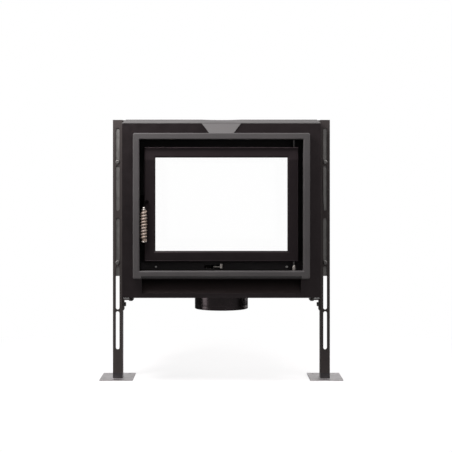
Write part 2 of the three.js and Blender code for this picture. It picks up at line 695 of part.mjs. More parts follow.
coilPoints.forEach((point, i) => {
  const outward = new THREE.Vector3(point.x - gripX, point.y - gripY, 0).normalize();
  const next = coilPoints[Math.min(i + 1, coilPoints.length - 1)];
  const along = next.clone().sub(coilPoints[Math.max(i - 1, 0)]).normalize();
  const across = new THREE.Vector3().crossVectors(outward, along).normalize();
  if (i === 0) {
    const foot = point.clone().addScaledVector(upward, -endRun);
    rings.push(wireRing(foot, outward, along.clone().negate().setZ(0).normalize()));
    const mitre = across.clone().negate().sub(along).normalize();
    rings.push(wireRing(point, outward, mitre.dot(upward) > 0 ? mitre : mitre.negate()));
  } else if (i === coilPoints.length - 1) {
    const mitre = upward.clone().sub(along).normalize();
    rings.push(wireRing(point, outward, mitre));
    const head = point.clone().addScaledVector(upward, endRun);
    rings.push(wireRing(head, outward, along.clone().negate().setZ(0).normalize()));
  } else {
    rings.push(wireRing(point, outward, across.dot(upward) > 0 ? across : across.negate()));
  }
});
const coilVertices = rings.flat().flatMap((point) => [point.x, point.y, point.z]);
const coilFaces = [];
for (let i = 0; i + 1 < rings.length; i += 1) {
  for (let k = 0; k < wireSides; k += 1) {
    const a = wireSides * i + k;
    const b = wireSides * i + (k + 1) % wireSides;
    coilFaces.push(a, b, b + wireSides, a, b + wireSides, a + wireSides);
  }
}
const last = wireSides * (rings.length - 1);
for (let k = 1; k < wireSides - 1; k += 1) {
  coilFaces.push(0, k + 1, k);
  coilFaces.push(last, last + k, last + k + 1);
}
const coilGeometry = new THREE.BufferGeometry();
coilGeometry.setAttribute('position', new THREE.BufferAttribute(new Float32Array(coilVertices), 3));
coilGeometry.setIndex(coilFaces);
let coilBody = solid(coilGeometry);
if (coilBody.volume() < 0) {
  coilGeometry.setIndex(coilFaces.reverse());
  coilBody = solid(coilGeometry);
}
keep('handle_grip', coilBody, 'brass');

// Least gap of the wire to itself, on its points, and to the stem
let leastGap = Infinity;
coilPoints.forEach((a, i) => coilPoints.slice(i + coilSteps / 2 + 1).forEach((b) => {
  leastGap = Math.min(leastGap, a.distanceTo(b) - coilWire);
}));
console.log(`coil wire least gap to itself ${leastGap.toFixed(2)} mm, pitch ${coilPitch.toFixed(2)} mm`);

// Latch cam behind the door, and the keeper it turns behind
const camFront = doorBack + fit;
const cam = join(
  bar('y', spindleWidth / 2 + fit + sheet, camFront, camBack, spindleX, spindleLevel, middling),
  box(spindleX - camReach, camFront, spindleLevel - camWide / 2,
    spindleX, camBack, spindleLevel + camWide / 2));
const camBore = bar('y', spindleWidth / 2 + fit, camFront - over, camBack + over,
  spindleX, spindleLevel, middling);
keep('latch_cam', cut(cam, camBore), 'steel');
const keeperOuter = -halfRecess + fit;
keep('latch_keeper', box(keeperOuter, camFront - fit - keeperThick, spindleLevel - keeperHigh / 2,
  keeperOuter + keeperWide, camFront - fit, spindleLevel + keeperHigh / 2), 'steel');

// Rear glass, its seal and its retainer
const rearFace = fireHalfDepth + fit;
const glassHalf = rearOpeningHalf + rearGlassLap;
const rearLow = rearOpeningBottom - rearGlassLap;
const rearHigh = rearOpeningTop + rearGlassLap;
const rearGlassFront = rearFace + rearSeal + fit;
const rearGlassBack = rearGlassFront + glassThick;
keep('rear_glass_seal', ring(rearFace, rearFace + rearSeal, glassHalf, rearLow, rearHigh,
  rearOpeningHalf, rearOpeningBottom, rearOpeningTop), 'rope');
keep('rear_glass', wideBox(glassHalf, rearGlassFront, rearLow, rearGlassBack, rearHigh), 'glass');
const retainerBack = rearGlassBack + fit + rearSeal;
keep('rear_glass_retainer', cut(
  ring(rearFace, retainerBack, glassHalf + fit + rearRim, rearLow - fit - rearRim, rearHigh + fit + rearRim,
    rearOpeningHalf, rearOpeningBottom, rearOpeningTop),
  wideBox(glassHalf + fit, rearFace - over, rearLow - fit, rearGlassBack + fit, rearHigh + fit)), 'black');

// Legs: slotted channels that slide down past the clamp bolts
const legOuter = legInner + legWide;
const legMid = (legInner + legOuter) / 2;
const legBack = legFace + legDeep;
const legFoot = footPlate + shoeHigh + fit;
const channel = cut(box(legInner, legFace, legFoot, legOuter, legBack, legTop),
  box(legInner + barSheet, legFace + barSheet, legFoot - over,
    legOuter - barSheet, legBack + over, legTop + over));
const bridges = [bridge, bridge, wideBridge, bridge, 0];
const slotZone = legTop - slotHead - slotStart - bridges.reduce((sum, width) => sum + width, 0);
const frontSlots = [];
let slotZ = slotStart;
slotShares.forEach((share, i) => {
  frontSlots.push([slotZ, slotZ + share * slotZone]);
  slotZ += share * slotZone + bridges[i];
});
function slotCut(axis, x0, x1, y0, y1, z0, z1) {
  const radius = axis === 'y' ? (x1 - x0) / 2 : (y1 - y0) / 2;
  const straight = box(x0, y0, z0 + radius, x1, y1, z1 - radius);
  const ends = [z0 + radius, z1 - radius].map((z) => (axis === 'y'
    ? bar('y', radius, y0, y1, (x0 + x1) / 2, z) : bar('x', radius, x0, x1, (y0 + y1) / 2, z)));
  return join(straight, ...ends);
}
const faceCuts = frontSlots.map(([z0, z1]) => slotCut('y', legMid - slotWidth / 2, legMid + slotWidth / 2,
  legFace - over, legFace + barSheet + over, z0, z1));
const sideSlotHalf = sideBolt / 2 + fit;
const bracketLevel = bodyBottom - bracketDrop - bracketTall / 2;
const sideCuts = [...sideLevels, bracketLevel].map((z) => slotCut('x',
  legInner - over, legInner + barSheet + over,
  boltY - sideSlotHalf, boltY + sideSlotHalf, z - sideSlotHalf, z + legTravel + sideSlotHalf));
const leg = cut(channel, ...faceCuts, ...sideCuts);
keep('leg_right', leg, 'leg');
keep('leg_left', mirrorX(leg), 'leg');

// Foot plates with a shoe that the leg stands on
const footFront = legFace - footAhead;
const footBack = footFront + footDeep;
const footHoles = [];
for (const x of [legInner - footInner / 2, legOuter + footOuter / 2]) {
  for (const y of [footFront + footHoleInset, footBack - footHoleInset]) {
    footHoles.push(bar('z', footHole / 2, -over, footPlate + over, x, y));
  }
}
const shoe = box(legInner, legFace, 0, legOuter, legBack, footPlate + shoeHigh);
const tongue = box(legInner + barSheet + fit, legFace + barSheet + fit, 0,
  legOuter - barSheet - fit, legBack, legFoot + tongueHigh);
const footSheet = box(legInner - footInner, footFront, 0, legOuter + footOuter, footBack, footPlate);
const foot = cut(join(footSheet, shoe, tongue), ...footHoles);
keep('foot_plate_right', foot, 'zinc');
keep('foot_plate_left', mirrorX(foot), 'zinc');

// Uprights inside the legs, fixed to the casing by bolts through bushes
const clampLevels = [frontSlots[4][0], frontSlots[2][0]].map((z) => z + slotWidth / 2);
const upInner = legInner + barSheet + fit;
const upFront = legFace + barSheet + fit;
const upOuter = legOuter - barSheet - fit;
const clampHoles = clampLevels.map((z) => bar('y', clampBolt / 2 + fit,
  upFront - over, upFront + barSheet + over, legMid, z));
const flangeHoles = sideLevels.map((z) => bar('x', sideBolt / 2 + fit,
  upInner - over, upInner + barSheet + over, boltY, z));
const upright = cut(
  join(box(upInner, upFront, uprightBottom, upOuter, upFront + barSheet, uprightTop),
    box(upInner, upFront, uprightBottom, upInner + barSheet, upFront + uprightFlange, uprightTop)),
  ...clampHoles, ...flangeHoles);
keep('upright_right', upright, 'zinc');
keep('upright_left', mirrorX(upright), 'zinc');
['upper', 'lower'].forEach((level, i) => {
  const z = clampLevels[i];
  const nutFront = upFront + barSheet + fit;
  const bolt = join(
    bar('y', clampHead / 2, legFace - fit - clampHeadHigh, legFace - fit, legMid, z, middling),
    bar('y', clampBolt / 2, legFace - fit - clampHeadHigh / 2, nutFront + clampNutHigh, legMid, z),
    bar('y', clampNut / 2, nutFront, nutFront + clampNutHigh - sheet / 2, legMid, z, hexSides));
  keep(`clamp_bolt_right_${level}`, bolt, 'zinc');
  keep(`clamp_bolt_left_${level}`, mirrorX(bolt), 'zinc');
});
['lower', 'upper'].forEach((level, i) => {
  const z = sideLevels[i];
  const headInner = casingOuter - sheet - fit - sideNutHigh;
  const nutInner = upInner + barSheet + fit;
  const bolt = join(
    bar('x', sideNut / 2, headInner, headInner + sideNutHigh, boltY, z, hexSides),
    bar('x', sideBolt / 2, headInner + sheet, nutInner + sideNutHigh, boltY, z),
    bar('x', sideBush / 2, casingOuter + fit, legInner - fit, boltY, z, middling),
    bar('x', sideNut / 2, nutInner, nutInner + sideNutHigh - sheet / 2, boltY, z, hexSides));
  keep(`side_bolt_right_${level}`, bolt, 'zinc');
  keep(`side_bolt_left_${level}`, mirrorX(bolt), 'zinc');
});

// Angle brackets under the base plate, with an upright bolt and a cross bolt into the leg's slot
const flangeTop = bodyBottom - bracketDrop;
const bracketOuter = legInner - fit;
const bracketFront = boltY - bracketDeep / 2;
const bracketBack = boltY + bracketDeep / 2;
const bracketFoot = flangeTop - barSheet;
const bracket = cut(
  join(box(bracketInner, bracketFront, bracketFoot, bracketOuter, bracketBack, flangeTop),
    box(bracketOuter - barSheet, bracketFront, flangeTop - bracketTall,
      bracketOuter, bracketBack, flangeTop)),
  bar('z', bracketBolt / 2 + fit, bracketFoot - over, flangeTop + over, bracketBoltX, boltY),
  bar('x', bracketBolt / 2 + fit, bracketOuter - barSheet - over, bracketOuter + over,
    boltY, bracketLevel));
keep('leg_bracket_right', bracket, 'zinc');
keep('leg_bracket_left', mirrorX(bracket), 'zinc');
const hangLow = bracketFoot - fit;
const hangHigh = baseTop + fit;
const hangBolt = join(
  bar('z', bracketBolt / 2, hangLow - screwHigh, hangHigh + screwHigh, bracketBoltX, boltY),
  bar('z', bracketBolt / 2 + sheet, flangeTop + fit, bodyBottom - fit, bracketBoltX, boltY, middling),
  bar('z', sideNut / 2, hangLow - screwHigh, hangLow, bracketBoltX, boltY, hexSides),
  bar('z', sideNut / 2, hangHigh, hangHigh + screwHigh, bracketBoltX, boltY, hexSides));
keep('bracket_bolt_right', hangBolt, 'zinc');
keep('bracket_bolt_left', mirrorX(hangBolt), 'zinc');
const crossHead = bracketOuter - barSheet - fit;
const crossBolt = join(
  bar('x', sideNut / 2, crossHead - sideNutHigh, crossHead, boltY, bracketLevel, hexSides),
  bar('x', bracketBolt / 2, crossHead - sideNutHigh / 2, upInner + sideNutHigh, boltY, bracketLevel),
  bar('x', sideNut / 2, upInner, upInner + sideNutHigh - sheet / 2, boltY, bracketLevel, hexSides));
keep('cross_bolt_right', crossBolt, 'zinc');
keep('cross_bolt_left', mirrorX(crossBolt), 'zinc');

// Two screws that hold the firebox face in the gap under the door
const screwLevel = recessFloor + recessBottom / 3;
const screw = join(
  bar('y', screwWidth / 2, fireFace - fit - screwHigh, fireFace - fit, halfWindow, screwLevel, middling),
  bar('y', screwWidth / 4, fireFace - fit - screwHigh / 2, fireFace - fit / 2, halfWindow, screwLevel));
keep('recess_screw_right', screw, 'steel');
keep('recess_screw_left', mirrorX(screw), 'steel');

export default insert;
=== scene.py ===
import json
from math import cos, hypot, pi, radians, sin, tan

import bmesh
import bpy
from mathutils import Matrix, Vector


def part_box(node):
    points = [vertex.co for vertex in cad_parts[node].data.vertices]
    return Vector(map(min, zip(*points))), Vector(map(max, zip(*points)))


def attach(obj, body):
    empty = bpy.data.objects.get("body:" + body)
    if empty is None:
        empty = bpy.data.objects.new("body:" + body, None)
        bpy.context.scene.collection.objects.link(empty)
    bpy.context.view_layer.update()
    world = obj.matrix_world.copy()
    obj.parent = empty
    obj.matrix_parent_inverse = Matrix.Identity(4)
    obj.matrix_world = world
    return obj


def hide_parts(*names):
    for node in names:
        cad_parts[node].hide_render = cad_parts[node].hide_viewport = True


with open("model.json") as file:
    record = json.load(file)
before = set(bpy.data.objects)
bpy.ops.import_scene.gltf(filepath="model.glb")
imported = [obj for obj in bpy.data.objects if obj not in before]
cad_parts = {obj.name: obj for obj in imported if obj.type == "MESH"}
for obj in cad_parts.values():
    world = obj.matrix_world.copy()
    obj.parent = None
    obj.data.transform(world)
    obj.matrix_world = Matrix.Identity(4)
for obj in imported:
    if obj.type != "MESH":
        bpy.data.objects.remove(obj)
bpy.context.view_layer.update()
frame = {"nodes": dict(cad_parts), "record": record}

# The see-through fireplace insert, dressed: metres, +Z up, front towards -Y.
MM = 0.001
SIDES = (("right", 1), ("left", -1))


def mm(*lengths):
    return tuple(length * MM for length in lengths)


def new_object(name, data):
    result = bpy.data.objects.new(name, data)
    bpy.context.scene.collection.objects.link(result)
    return result


node_body = {node: body for body, nodes in frame["record"]["behaviour"]["bodies"].items() for node in nodes}
node_slot = {row["node"]: row["material_slot"] for row in frame["record"]["subparts"]}


# Camera: the photograph's viewpoint, 3.1 m in front of the panel
IMAGE_WIDTH = 452
CAMERA_PLACE = (0.0, -3.290, 0.536)
FOCAL_PIXELS = 1164.5
SENSOR = 36.0
OBJECT_MIDDLE_PIXEL = 221.4
HORIZON_PIXEL = 187.0


def make_camera():
    data = bpy.data.cameras.new("camera")
    data.sensor_width = SENSOR
    data.lens = FOCAL_PIXELS / IMAGE_WIDTH * SENSOR
    data.shift_x = (IMAGE_WIDTH / 2 - OBJECT_MIDDLE_PIXEL) / IMAGE_WIDTH
    data.shift_y = (HORIZON_PIXEL - IMAGE_WIDTH / 2) / IMAGE_WIDTH
    camera = new_object("camera", data)
    camera.location = CAMERA_PLACE
    camera.rotation_euler = (pi / 2, 0, 0)
    bpy.context.scene.camera = camera


# Lights: a near soft key from the upper left, a weaker one from the upper right, a weak fill,
# a tall strip for the spigot's glint, and one lamp each for the right side and the back.
# Each row is a name, a place, a target, a width, a height and a power in watts
LIGHT_TINT = (1.0, 0.955, 0.965)
LAMPS = (
    ("key_light", (-0.5, -0.7, 1.3), (0, -0.1, 0.5), 0.5, 0.5, 13),
    ("second_key", (0.62, -0.6, 1.35), (0.25, -0.1, 0.7), 0.4, 0.4, 3.5),
    ("fill_light", (1.2, -2.0, 0.9), (0, 0, 0.45), 1.2, 1.2, 3),
    ("left_strip", (-1.83, -0.5, 0.4), (0, -0.06, 0.25), 0.7, 0.9, 8),
    ("right_light", (2.2, 0.3, 1.1), (0, 0, 0.4), 1.2, 1.2, 16),
    ("back_light", (1.8, 1.8, 0.6), (0, 0, 0.45), 1.2, 1.0, 22),
)


def area_light(name, place, target, wide, high, power):
    data = bpy.data.lights.new(name, "AREA")
    data.color = LIGHT_TINT
    data.shape = "RECTANGLE"
    data.size = wide
    data.size_y = high
    data.energy = power
    lamp = new_object(name, data)
    lamp.location = place
    lamp.visible_camera = False
    lamp.rotation_euler = (Vector(target) - Vector(place)).to_track_quat("-Z", "Y").to_euler()


# Node trees
def empty_tree(owner):
    owner.use_nodes = True
    owner.node_tree.nodes.clear()
    return owner.node_tree


def feed(tree, node, inputs):
    """Gives a node its inputs, by name or number: values, or the sockets that they are linked from."""
    for key, value in inputs.items():
        if isinstance(value, bpy.types.NodeSocket):
            tree.links.new(value, node.inputs[key])
        else:
            node.inputs[key].default_value = value


def add_node(tree, kind, inputs=None, **settings):
    node = tree.nodes.new("ShaderNode" + kind)
    for name, value in settings.items():
        setattr(node, name, value)
    feed(tree, node, inputs or {})
    return node


def map_node(tree, value, low, high, to_low=0.0, to_high=1.0):
    inputs = {"Value": value, "From Min": low, "From Max": high, "To Min": to_low, "To Max": to_high}
    return add_node(tree, "MapRange", inputs).outputs["Result"]


def math_node(tree, operation, first, second, clamped=False):
    return add_node(tree, "Math", {0: first, 1: second}, operation=operation, use_clamp=clamped).outputs[0]


def split_node(tree, vector):
    return add_node(tree, "SeparateXYZ", {0: vector}).outputs


# World: white to the camera and through glass, a plain grey level for everything it lights. In glossy paint
# the ceiling shows brighter than the horizon, and a dark screen stands on either side. Heights and depths are
# parts of a direction of length 1
CEILING_RISE = (0.15, 0.75)
SCREEN_TOP = (0.25, 0.5)
SCREEN_FRONT = (-0.45, -0.15)
SCREEN_REAR = (0.85, 0.97)
WORLD_LEVEL = 0.13
HORIZON_SHARE = 0.16
CEILING_SHARE = 0.85
FLOOR_SHARE = 0.3
SCREEN_SHARE = 0.1


def make_world():
    world = bpy.data.worlds.new("studio")
    bpy.context.scene.world = world
    tree = empty_tree(world)
    direction = split_node(tree, add_node(tree, "TexCoord").outputs["Generated"])
    lift = map_node(tree, direction["Z"], *CEILING_RISE, HORIZON_SHARE, CEILING_SHARE)
    above = map_node(tree, direction["Z"], *SCREEN_TOP)
    unscreened = math_node(tree, "MAXIMUM", beside_screens(tree, direction["Y"]), above)
    share = math_node(tree, "MULTIPLY", lift, unscreened)
    dim = add_node(tree, "Background", {"Color": (*LIGHT_TINT, 1), "Strength": WORLD_LEVEL})
    white = add_node(tree, "Background", {"Color": (1, 1, 1, 1), "Strength": 1.0})
    mix = add_node(tree, "MixShader", {0: white_ray(tree, share), 1: dim.outputs[0], 2: white.outputs[0]})
    add_node(tree, "OutputWorld", {0: mix.outputs[0]})


def beside_screens(tree, depth):
    """1 in front and far behind, SCREEN_SHARE in the directions of the dark side screens."""
    front = map_node(tree, depth, *SCREEN_FRONT, 1.0, SCREEN_SHARE)
    return math_node(tree, "MAXIMUM", front, map_node(tree, depth, *SCREEN_REAR))


def white_ray(tree, glossy_share):
    """1 for camera and transmission rays, a share of it for glossy ones."""
    ray = add_node(tree, "LightPath").outputs
    glossy = math_node(tree, "MULTIPLY", ray["Is Glossy Ray"], glossy_share)
    seen = math_node(tree, "ADD", ray["Is Camera Ray"], ray["Is Transmission Ray"])
    return math_node(tree, "ADD", seen, glossy, clamped=True)


# Floor: pale, lit near the object so that it keeps the shadow, plain white further out
FLOOR_HALF = 9.0
FLOOR_GAP = 0.1 * MM
FLOOR_GLOW = 0.80
FLOOR_ALBEDO = 0.45
SHADOW_REACH = (0.45, 1.1)


def make_floor():
    mesh = bpy.data.meshes.new("floor")
    corners = [(x * FLOOR_HALF, y * FLOOR_HALF, -FLOOR_GAP) for x, y in ((-1, -1), (1, -1), (1, 1), (-1, 1))]
    mesh.from_pydata(corners, [], [(0, 1, 2, 3)])
    floor = new_object("floor", mesh)
    material = bpy.data.materials.new("pale_floor")
    mesh.materials.append(material)
    tree = empty_tree(material)
    place = add_node(tree, "TexCoord").outputs["Object"]
    direction = add_node(tree, "VectorMath", {0: place}, operation="NORMALIZE").outputs[0]
    share = math_node(tree, "MULTIPLY", beside_screens(tree, split_node(tree, direction)["Y"]), FLOOR_SHARE)
    glow_level = math_node(tree, "MULTIPLY", white_ray(tree, share), FLOOR_GLOW)
    matt = add_node(tree, "BsdfDiffuse", {"Color": (FLOOR_ALBEDO, FLOOR_ALBEDO, FLOOR_ALBEDO, 1)})
    glow = add_node(tree, "Emission", {"Strength": glow_level})
    lit = add_node(tree, "AddShader", {0: matt.outputs[0], 1: glow.outputs[0]})
    plain = add_node(tree, "Emission", {"Strength": white_ray(tree, share)})
    length = add_node(tree, "VectorMath", {0: place}, operation="LENGTH").outputs["Value"]
    reach = map_node(tree, length, *SHADOW_REACH)
    mix = add_node(tree, "MixShader", {0: reach, 1: lit.outputs[0], 2: plain.outputs[0]})
    add_node(tree, "OutputMaterial", {0: mix.outputs[0]})


# Materials: noise scales are per metre, and colours are linear
WORN_RADIUS = 0.7 * MM
WORN_SPAN = (0.995, 0.86)
# Colour of the dust film on top faces, also used for the painted highlight on the door's top edge
DUST_AND_HIGHLIGHT_COLOR = (0.30, 0.28, 0.26)
# Softness of the lower edge of the painted highlight on the door's top face
PAINTED_HIGHLIGHT_EDGE = 1 * MM
# Painted shade: the share of the colour that faces turned down keep
PAINTED_UNDERSIDE_SHADE = 0.3
GLASS_INDEX = 1.18
BRICK_SOOT_EDGE = mm(-110, -119)
materials = {}


class Look:
    """A procedural material under construction, with its principled shader."""

    def __init__(self, name, roughness, metallic=0.0, specular=0.5):
        materials[name] = bpy.data.materials.new(name)
        self.tree = empty_tree(materials[name])
        inputs = {"Roughness": roughness, "Metallic": metallic, "Specular IOR Level": specular}
        self.shader = self.node("BsdfPrincipled", inputs)
        self.node("OutputMaterial", {0: self.shader.outputs[0]})
        self.place = self.node("TexCoord").outputs["Object"]

    def node(self, kind, inputs=None, **settings):
        return add_node(self.tree, kind, inputs, **settings)

    def shows(self, name, value):
        feed(self.tree, self.shader, {name: value})

    def color(self, value):
        self.shows("Base Color", value)

    def roughness(self, value):
        self.shows("Roughness", value)

    def stretched(self, scale):
        return self.node("Mapping", {"Scale": scale, "Vector": self.place}).outputs[0]

    def noise(self, scale, detail, vector=None):
        inputs = {"Scale": scale, "Detail": detail, "Vector": vector or self.place}
        return self.node("TexNoise", inputs).outputs["Fac"]

    def cells(self, scale, output="Distance"):
        return self.node("TexVoronoi", {"Scale": scale, "Vector": self.place}).outputs[output]

    def span(self, value, low, high, to_low=0.0, to_high=1.0):
        return map_node(self.tree, value, low, high, to_low, to_high)

    def blend(self, factor, first, second):
        first, second = ((*value, 1.0) if isinstance(value, tuple) else value for value in (first, second))
        mix = self.node("Mix", {"Factor": factor, "A": first, "B": second}, data_type="RGBA")
        return mix.outputs["Result"]

    def add(self, first, second):
        return math_node(self.tree, "ADD", first, second)

    def times(self, first, second):
        return math_node(self.tree, "MULTIPLY", first, second)

    def axis(self, name):
        return split_node(self.tree, self.place)[name]

    def facing_up(self):
        return split_node(self.tree, self.node("NewGeometry").outputs["Normal"])["Z"]

    def crystals(self, spangle, dark, bright, stained):
        """The patches of zinc or turned steel under small stains."""
        patch = self.times(self.cells(spangle, "Color"), 0.5)
        tone = self.blend(self.span(self.add(patch, self.noise(22, 4)), 0.4, 1.1), dark, bright)
        return self.blend(self.span(self.noise(140, 4), 0.62, 0.8, 0.0, 0.45), tone, stained)

    def worn_edges(self):
        """Near 1 on outer edges, 0 on flat faces."""
        flat = self.node("NewGeometry").outputs["True Normal"]
        soft = self.node("Bevel", {"Radius": WORN_RADIUS}, samples=4).outputs[0]
        alike = self.node("VectorMath", {0: flat, 1: soft}, operation="DOT_PRODUCT").outputs["Value"]
        return self.span(alike, *WORN_SPAN)

    def bump(self, height, strength, millimetres, normal=None):
        inputs = {"Strength": strength, "Distance": millimetres * MM, "Height": height}
        if normal:
            inputs["Normal"] = normal
        bumped = self.node("Bump", inputs).outputs[0]
        self.shows("Normal", bumped)
        return bumped


def shade(color, factor):
    return tuple(channel * factor for channel in color)


def paint(name, color, roughness, specular, worn=1.8, dust_and_highlight=0.10, painted_highlight_above=0.0, tint=(1, 1, 1), peel=0.10,
          painted_light_bands=()):
    """Stove paint on sheet metal: cloudy tone, orange peel, lighter edges, painted shade on undersides and a
    little dusting on top faces, which above a given height is a painted highlight instead.
    A band (low, high, soft, gain) is a height where the colour is lightened as painted light."""
    look = Look(name, roughness, specular=specular)
    look.shows("Specular Tint", (*tint, 1))
    cloud = look.span(look.noise(7, 4), 0.3, 0.7)
    speck = look.span(look.noise(260, 2), 0.35, 0.75)
    tone = look.blend(cloud, shade(color, 0.88), shade(color, 1.12))
    tone = look.blend(look.times(speck, 0.18), tone, shade(color, 1.5))
    # Painted light: each band lightens the colour at its height
    for low, high, soft, gain in painted_light_bands:
        height = look.axis("Z")
        band = look.times(look.span(height, low, low + soft), look.span(height, high, high - soft))
        tone = look.blend(band, tone, shade(color, gain))
    edge = look.times(look.worn_edges(), look.span(look.noise(90, 3), 0.35, 0.65, 0.25, 1.0))
    tone = look.blend(edge, tone, shade(color, worn))
    # Painted shade: faces turned down get a darker tone
    tone = look.blend(look.span(look.facing_up(), -0.35, -0.65), tone, shade(color, PAINTED_UNDERSIDE_SHADE))
    # A little dust on top faces; on the door this film is mostly a painted highlight
    dust_and_highlight_cover = look.span(look.noise(34, 5), 0.35, 0.8, 0.0, dust_and_highlight)
    film = look.times(look.span(look.facing_up(), 0.55, 1.0), dust_and_highlight_cover)
    # Above the given height the film is a painted highlight along the top edge
    if painted_highlight_above:
        film = look.times(film, look.span(look.axis("Z"), painted_highlight_above, painted_highlight_above + PAINTED_HIGHLIGHT_EDGE))
    look.color(look.blend(film, tone, DUST_AND_HIGHLIGHT_COLOR))
    look.roughness(look.span(look.noise(55, 4), 0.25, 0.75, roughness - 0.07, roughness + 0.09))
    fine = look.bump(look.noise(1300, 2), 2.2 * peel, 0.05)
    look.bump(look.noise(18, 2), peel, 0.5, fine)


def plated(name, color, roughness, spangle, direction=(1, 1, 1)):
    """Zinc or turned steel: crystal patches, small stains and fine drawn lines."""
    look = Look(name, roughness, metallic=1.0)
    look.color(look.crystals(spangle, shade(color, 0.80), shade(color, 1.16), shade(color, 0.55)))
    lines = look.noise(400, 2, vector=look.stretched(direction))
    matt = look.add(lines, look.cells(spangle, "Color"))
    look.roughness(look.span(matt, 0.3, 1.4, roughness - 0.06, roughness + 0.12))
    look.bump(lines, 0.12, 0.04)


def brick():
    """Pressed vermiculite board: golden and dark flakes in a sandy ground, sooty, black at the front edge."""
    color = (0.48, 0.39, 0.26)
    look = Look("fire_brick", 0.93, specular=0.25)
    flake = look.cells(420, "Color")
    chip = look.span(look.cells(210), 0.0, 0.6)
    tone = look.blend(look.span(flake, 0.2, 0.8), shade(color, 0.62), shade(color, 1.25))
    tone = look.blend(look.times(chip, 0.45), tone, (0.26, 0.20, 0.13))
    soot = look.span(look.noise(9, 5), 0.42, 0.75, 0.0, 0.55)
    tone = look.blend(soot, tone, (0.07, 0.06, 0.05))
    look.color(look.blend(look.span(look.axis("Y"), *BRICK_SOOT_EDGE), tone, (0.012, 0.011, 0.010)))
    grainy = look.bump(look.noise(700, 3), 0.5, 0.35)
    look.bump(look.cells(330), 0.4, 0.4, grainy)


def cast_iron():
    """Raw sand casting: coarse skin, near black with rusty bloom."""
    look = Look("cast_iron", 0.72, metallic=0.35, specular=0.3)
    tone = look.blend(look.span(look.noise(60, 5), 0.3, 0.7), (0.022, 0.022, 0.023), (0.045, 0.043, 0.041))
    rust = look.span(look.noise(25, 6), 0.58, 0.8, 0.0, 0.5)
    look.color(look.blend(rust, tone, (0.09, 0.042, 0.02)))
    look.roughness(look.span(look.noise(120, 3), 0.2, 0.8, 0.6, 0.85))
    skin = look.bump(look.noise(520, 4), 0.55, 0.3)
    look.bump(look.cells(900), 0.25, 0.15, skin)


def rope():
    """Knitted glass-fibre rope: crossing stitches."""
    look = Look("rope_seal", 0.95, specular=0.15)
    one = look.noise(900, 2, vector=look.stretched((1.0, 1.0, 0.25)))
    two = look.noise(900, 2, vector=look.stretched((0.25, 1.0, 1.0)))
    weave = look.times(one, two)
    look.color(look.blend(look.span(weave, 0.15, 0.4), (0.10, 0.095, 0.09), (0.26, 0.25, 0.235)))
    look.bump(weave, 0.7, 0.5)


def stove_glass():
    """Clear glass-ceramic pane with a trace of haze."""
    look = Look("stove_glass", 0.0)
    look.shows("Transmission Weight", 1.0)
    look.shows("IOR", GLASS_INDEX)
    haze = look.span(look.noise(5, 4), 0.45, 0.8)
    look.color(look.blend(haze, (1.0, 1.0, 1.0), (0.995, 0.997, 0.996)))
    look.roughness(look.span(look.noise(12, 4), 0.5, 0.8, 0.0, 0.012))


def grip_wire():
    """Satin spring wire with patches of warm heat tint and a little soil."""
    color = (0.42, 0.355, 0.31)
    look = Look("grip_wire", 0.4, metallic=0.8)
    tint = look.span(look.noise(45, 4), 0.35, 0.7)
    tone = look.blend(tint, shade(color, 0.9), (0.38, 0.30, 0.24))
    soil = look.span(look.noise(300, 3), 0.55, 0.8, 0.0, 0.4)
    look.color(look.blend(soil, tone, shade(color, 0.45)))
    look.roughness(look.span(look.noise(180, 3), 0.25, 0.75, 0.56, 0.70))
    look.bump(look.noise(900, 2), 0.12, 0.05)


def foot_plate():
    """Zinc-plated foot: bright plate, dark painted shoe over its top face."""
    look = Look("foot_plate", 0.34)
    shoe = look.span(look.axis("Z"), FOOT_SHEET, FOOT_SHEET + FOOT_SHEET_EDGE)
    plate = look.crystals(110, (0.74, 0.72, 0.72), (0.96, 0.93, 0.94), (0.46, 0.44, 0.45))
    coat = look.blend(look.span(look.noise(60, 4), 0.3, 0.7), (0.022, 0.019, 0.021), (0.034, 0.030, 0.032))
    look.color(look.blend(shoe, plate, coat))
    look.shows("Metallic", look.span(shoe, 0.0, 1.0, 1.0, 0.0))
    look.roughness(look.span(look.noise(400, 2, vector=look.stretched((1, 1, 0.1))), 0.3, 0.7, 0.30, 0.46))
    look.bump(look.noise(700, 2), 0.15, 0.05)


# The foot plates' top face, the blacks' warm sheen, the height of the painted highlight on the door's top
# edge, and the bands of painted light
FOOT_SHEET = 3.2 * MM
FOOT_SHEET_EDGE = 0.3 * MM
BLACK_TINT = (1.0, 0.84, 0.88)
# Height above which the door's top-face film is a painted highlight
DOOR_PAINTED_HIGHLIGHT_ABOVE = 636 * MM
# Painted light: the door's top bar lightened, and a bright line painted as the highlight on its top edge
DOOR_PAINTED_LIGHT_BANDS = ((*mm(606, 635, 5), 2.3), (*mm(639.8, 650, 0.5), 16.0))
# Painted light: the air ramp lighter towards its bottom, darker near the frame where its shadow falls
RAMP_PAINTED_LIGHT_BAND = ((*mm(200, 286, 20), 3.6),)
# Painted light: recess and firebox steel lightened between the recess floor and the door's bottom edge
RECESS_PAINTED_LIGHT_BAND = ((*mm(290, 338, 4), 2.2),)
# Painted light: the hood's upright tab lightened to look as lit as its sloped top
TAB_PAINTED_LIGHT_BAND = ((*mm(600, 706, 3), 1.41),)
paint("panel_black", (0.0072, 0.0058, 0.0060), 0.36, 0.42, tint=BLACK_TINT)
paint("spigot_black", (0.0070, 0.0056, 0.0054), 0.22, 0.5, tint=BLACK_TINT, peel=0.015)
paint("hood_grey", (0.158, 0.156, 0.155), 0.55, 0.05, worn=1.15, dust_and_highlight=0.0, painted_light_bands=TAB_PAINTED_LIGHT_BAND)
paint("frame_grey", (0.081, 0.0775, 0.0780), 0.44, 0.33, worn=1.3, dust_and_highlight=0.05)
paint("recess_black", (0.004, 0.0037, 0.0037), 0.75, 0.0, worn=1.4, dust_and_highlight=0.02, painted_light_bands=RECESS_PAINTED_LIGHT_BAND)
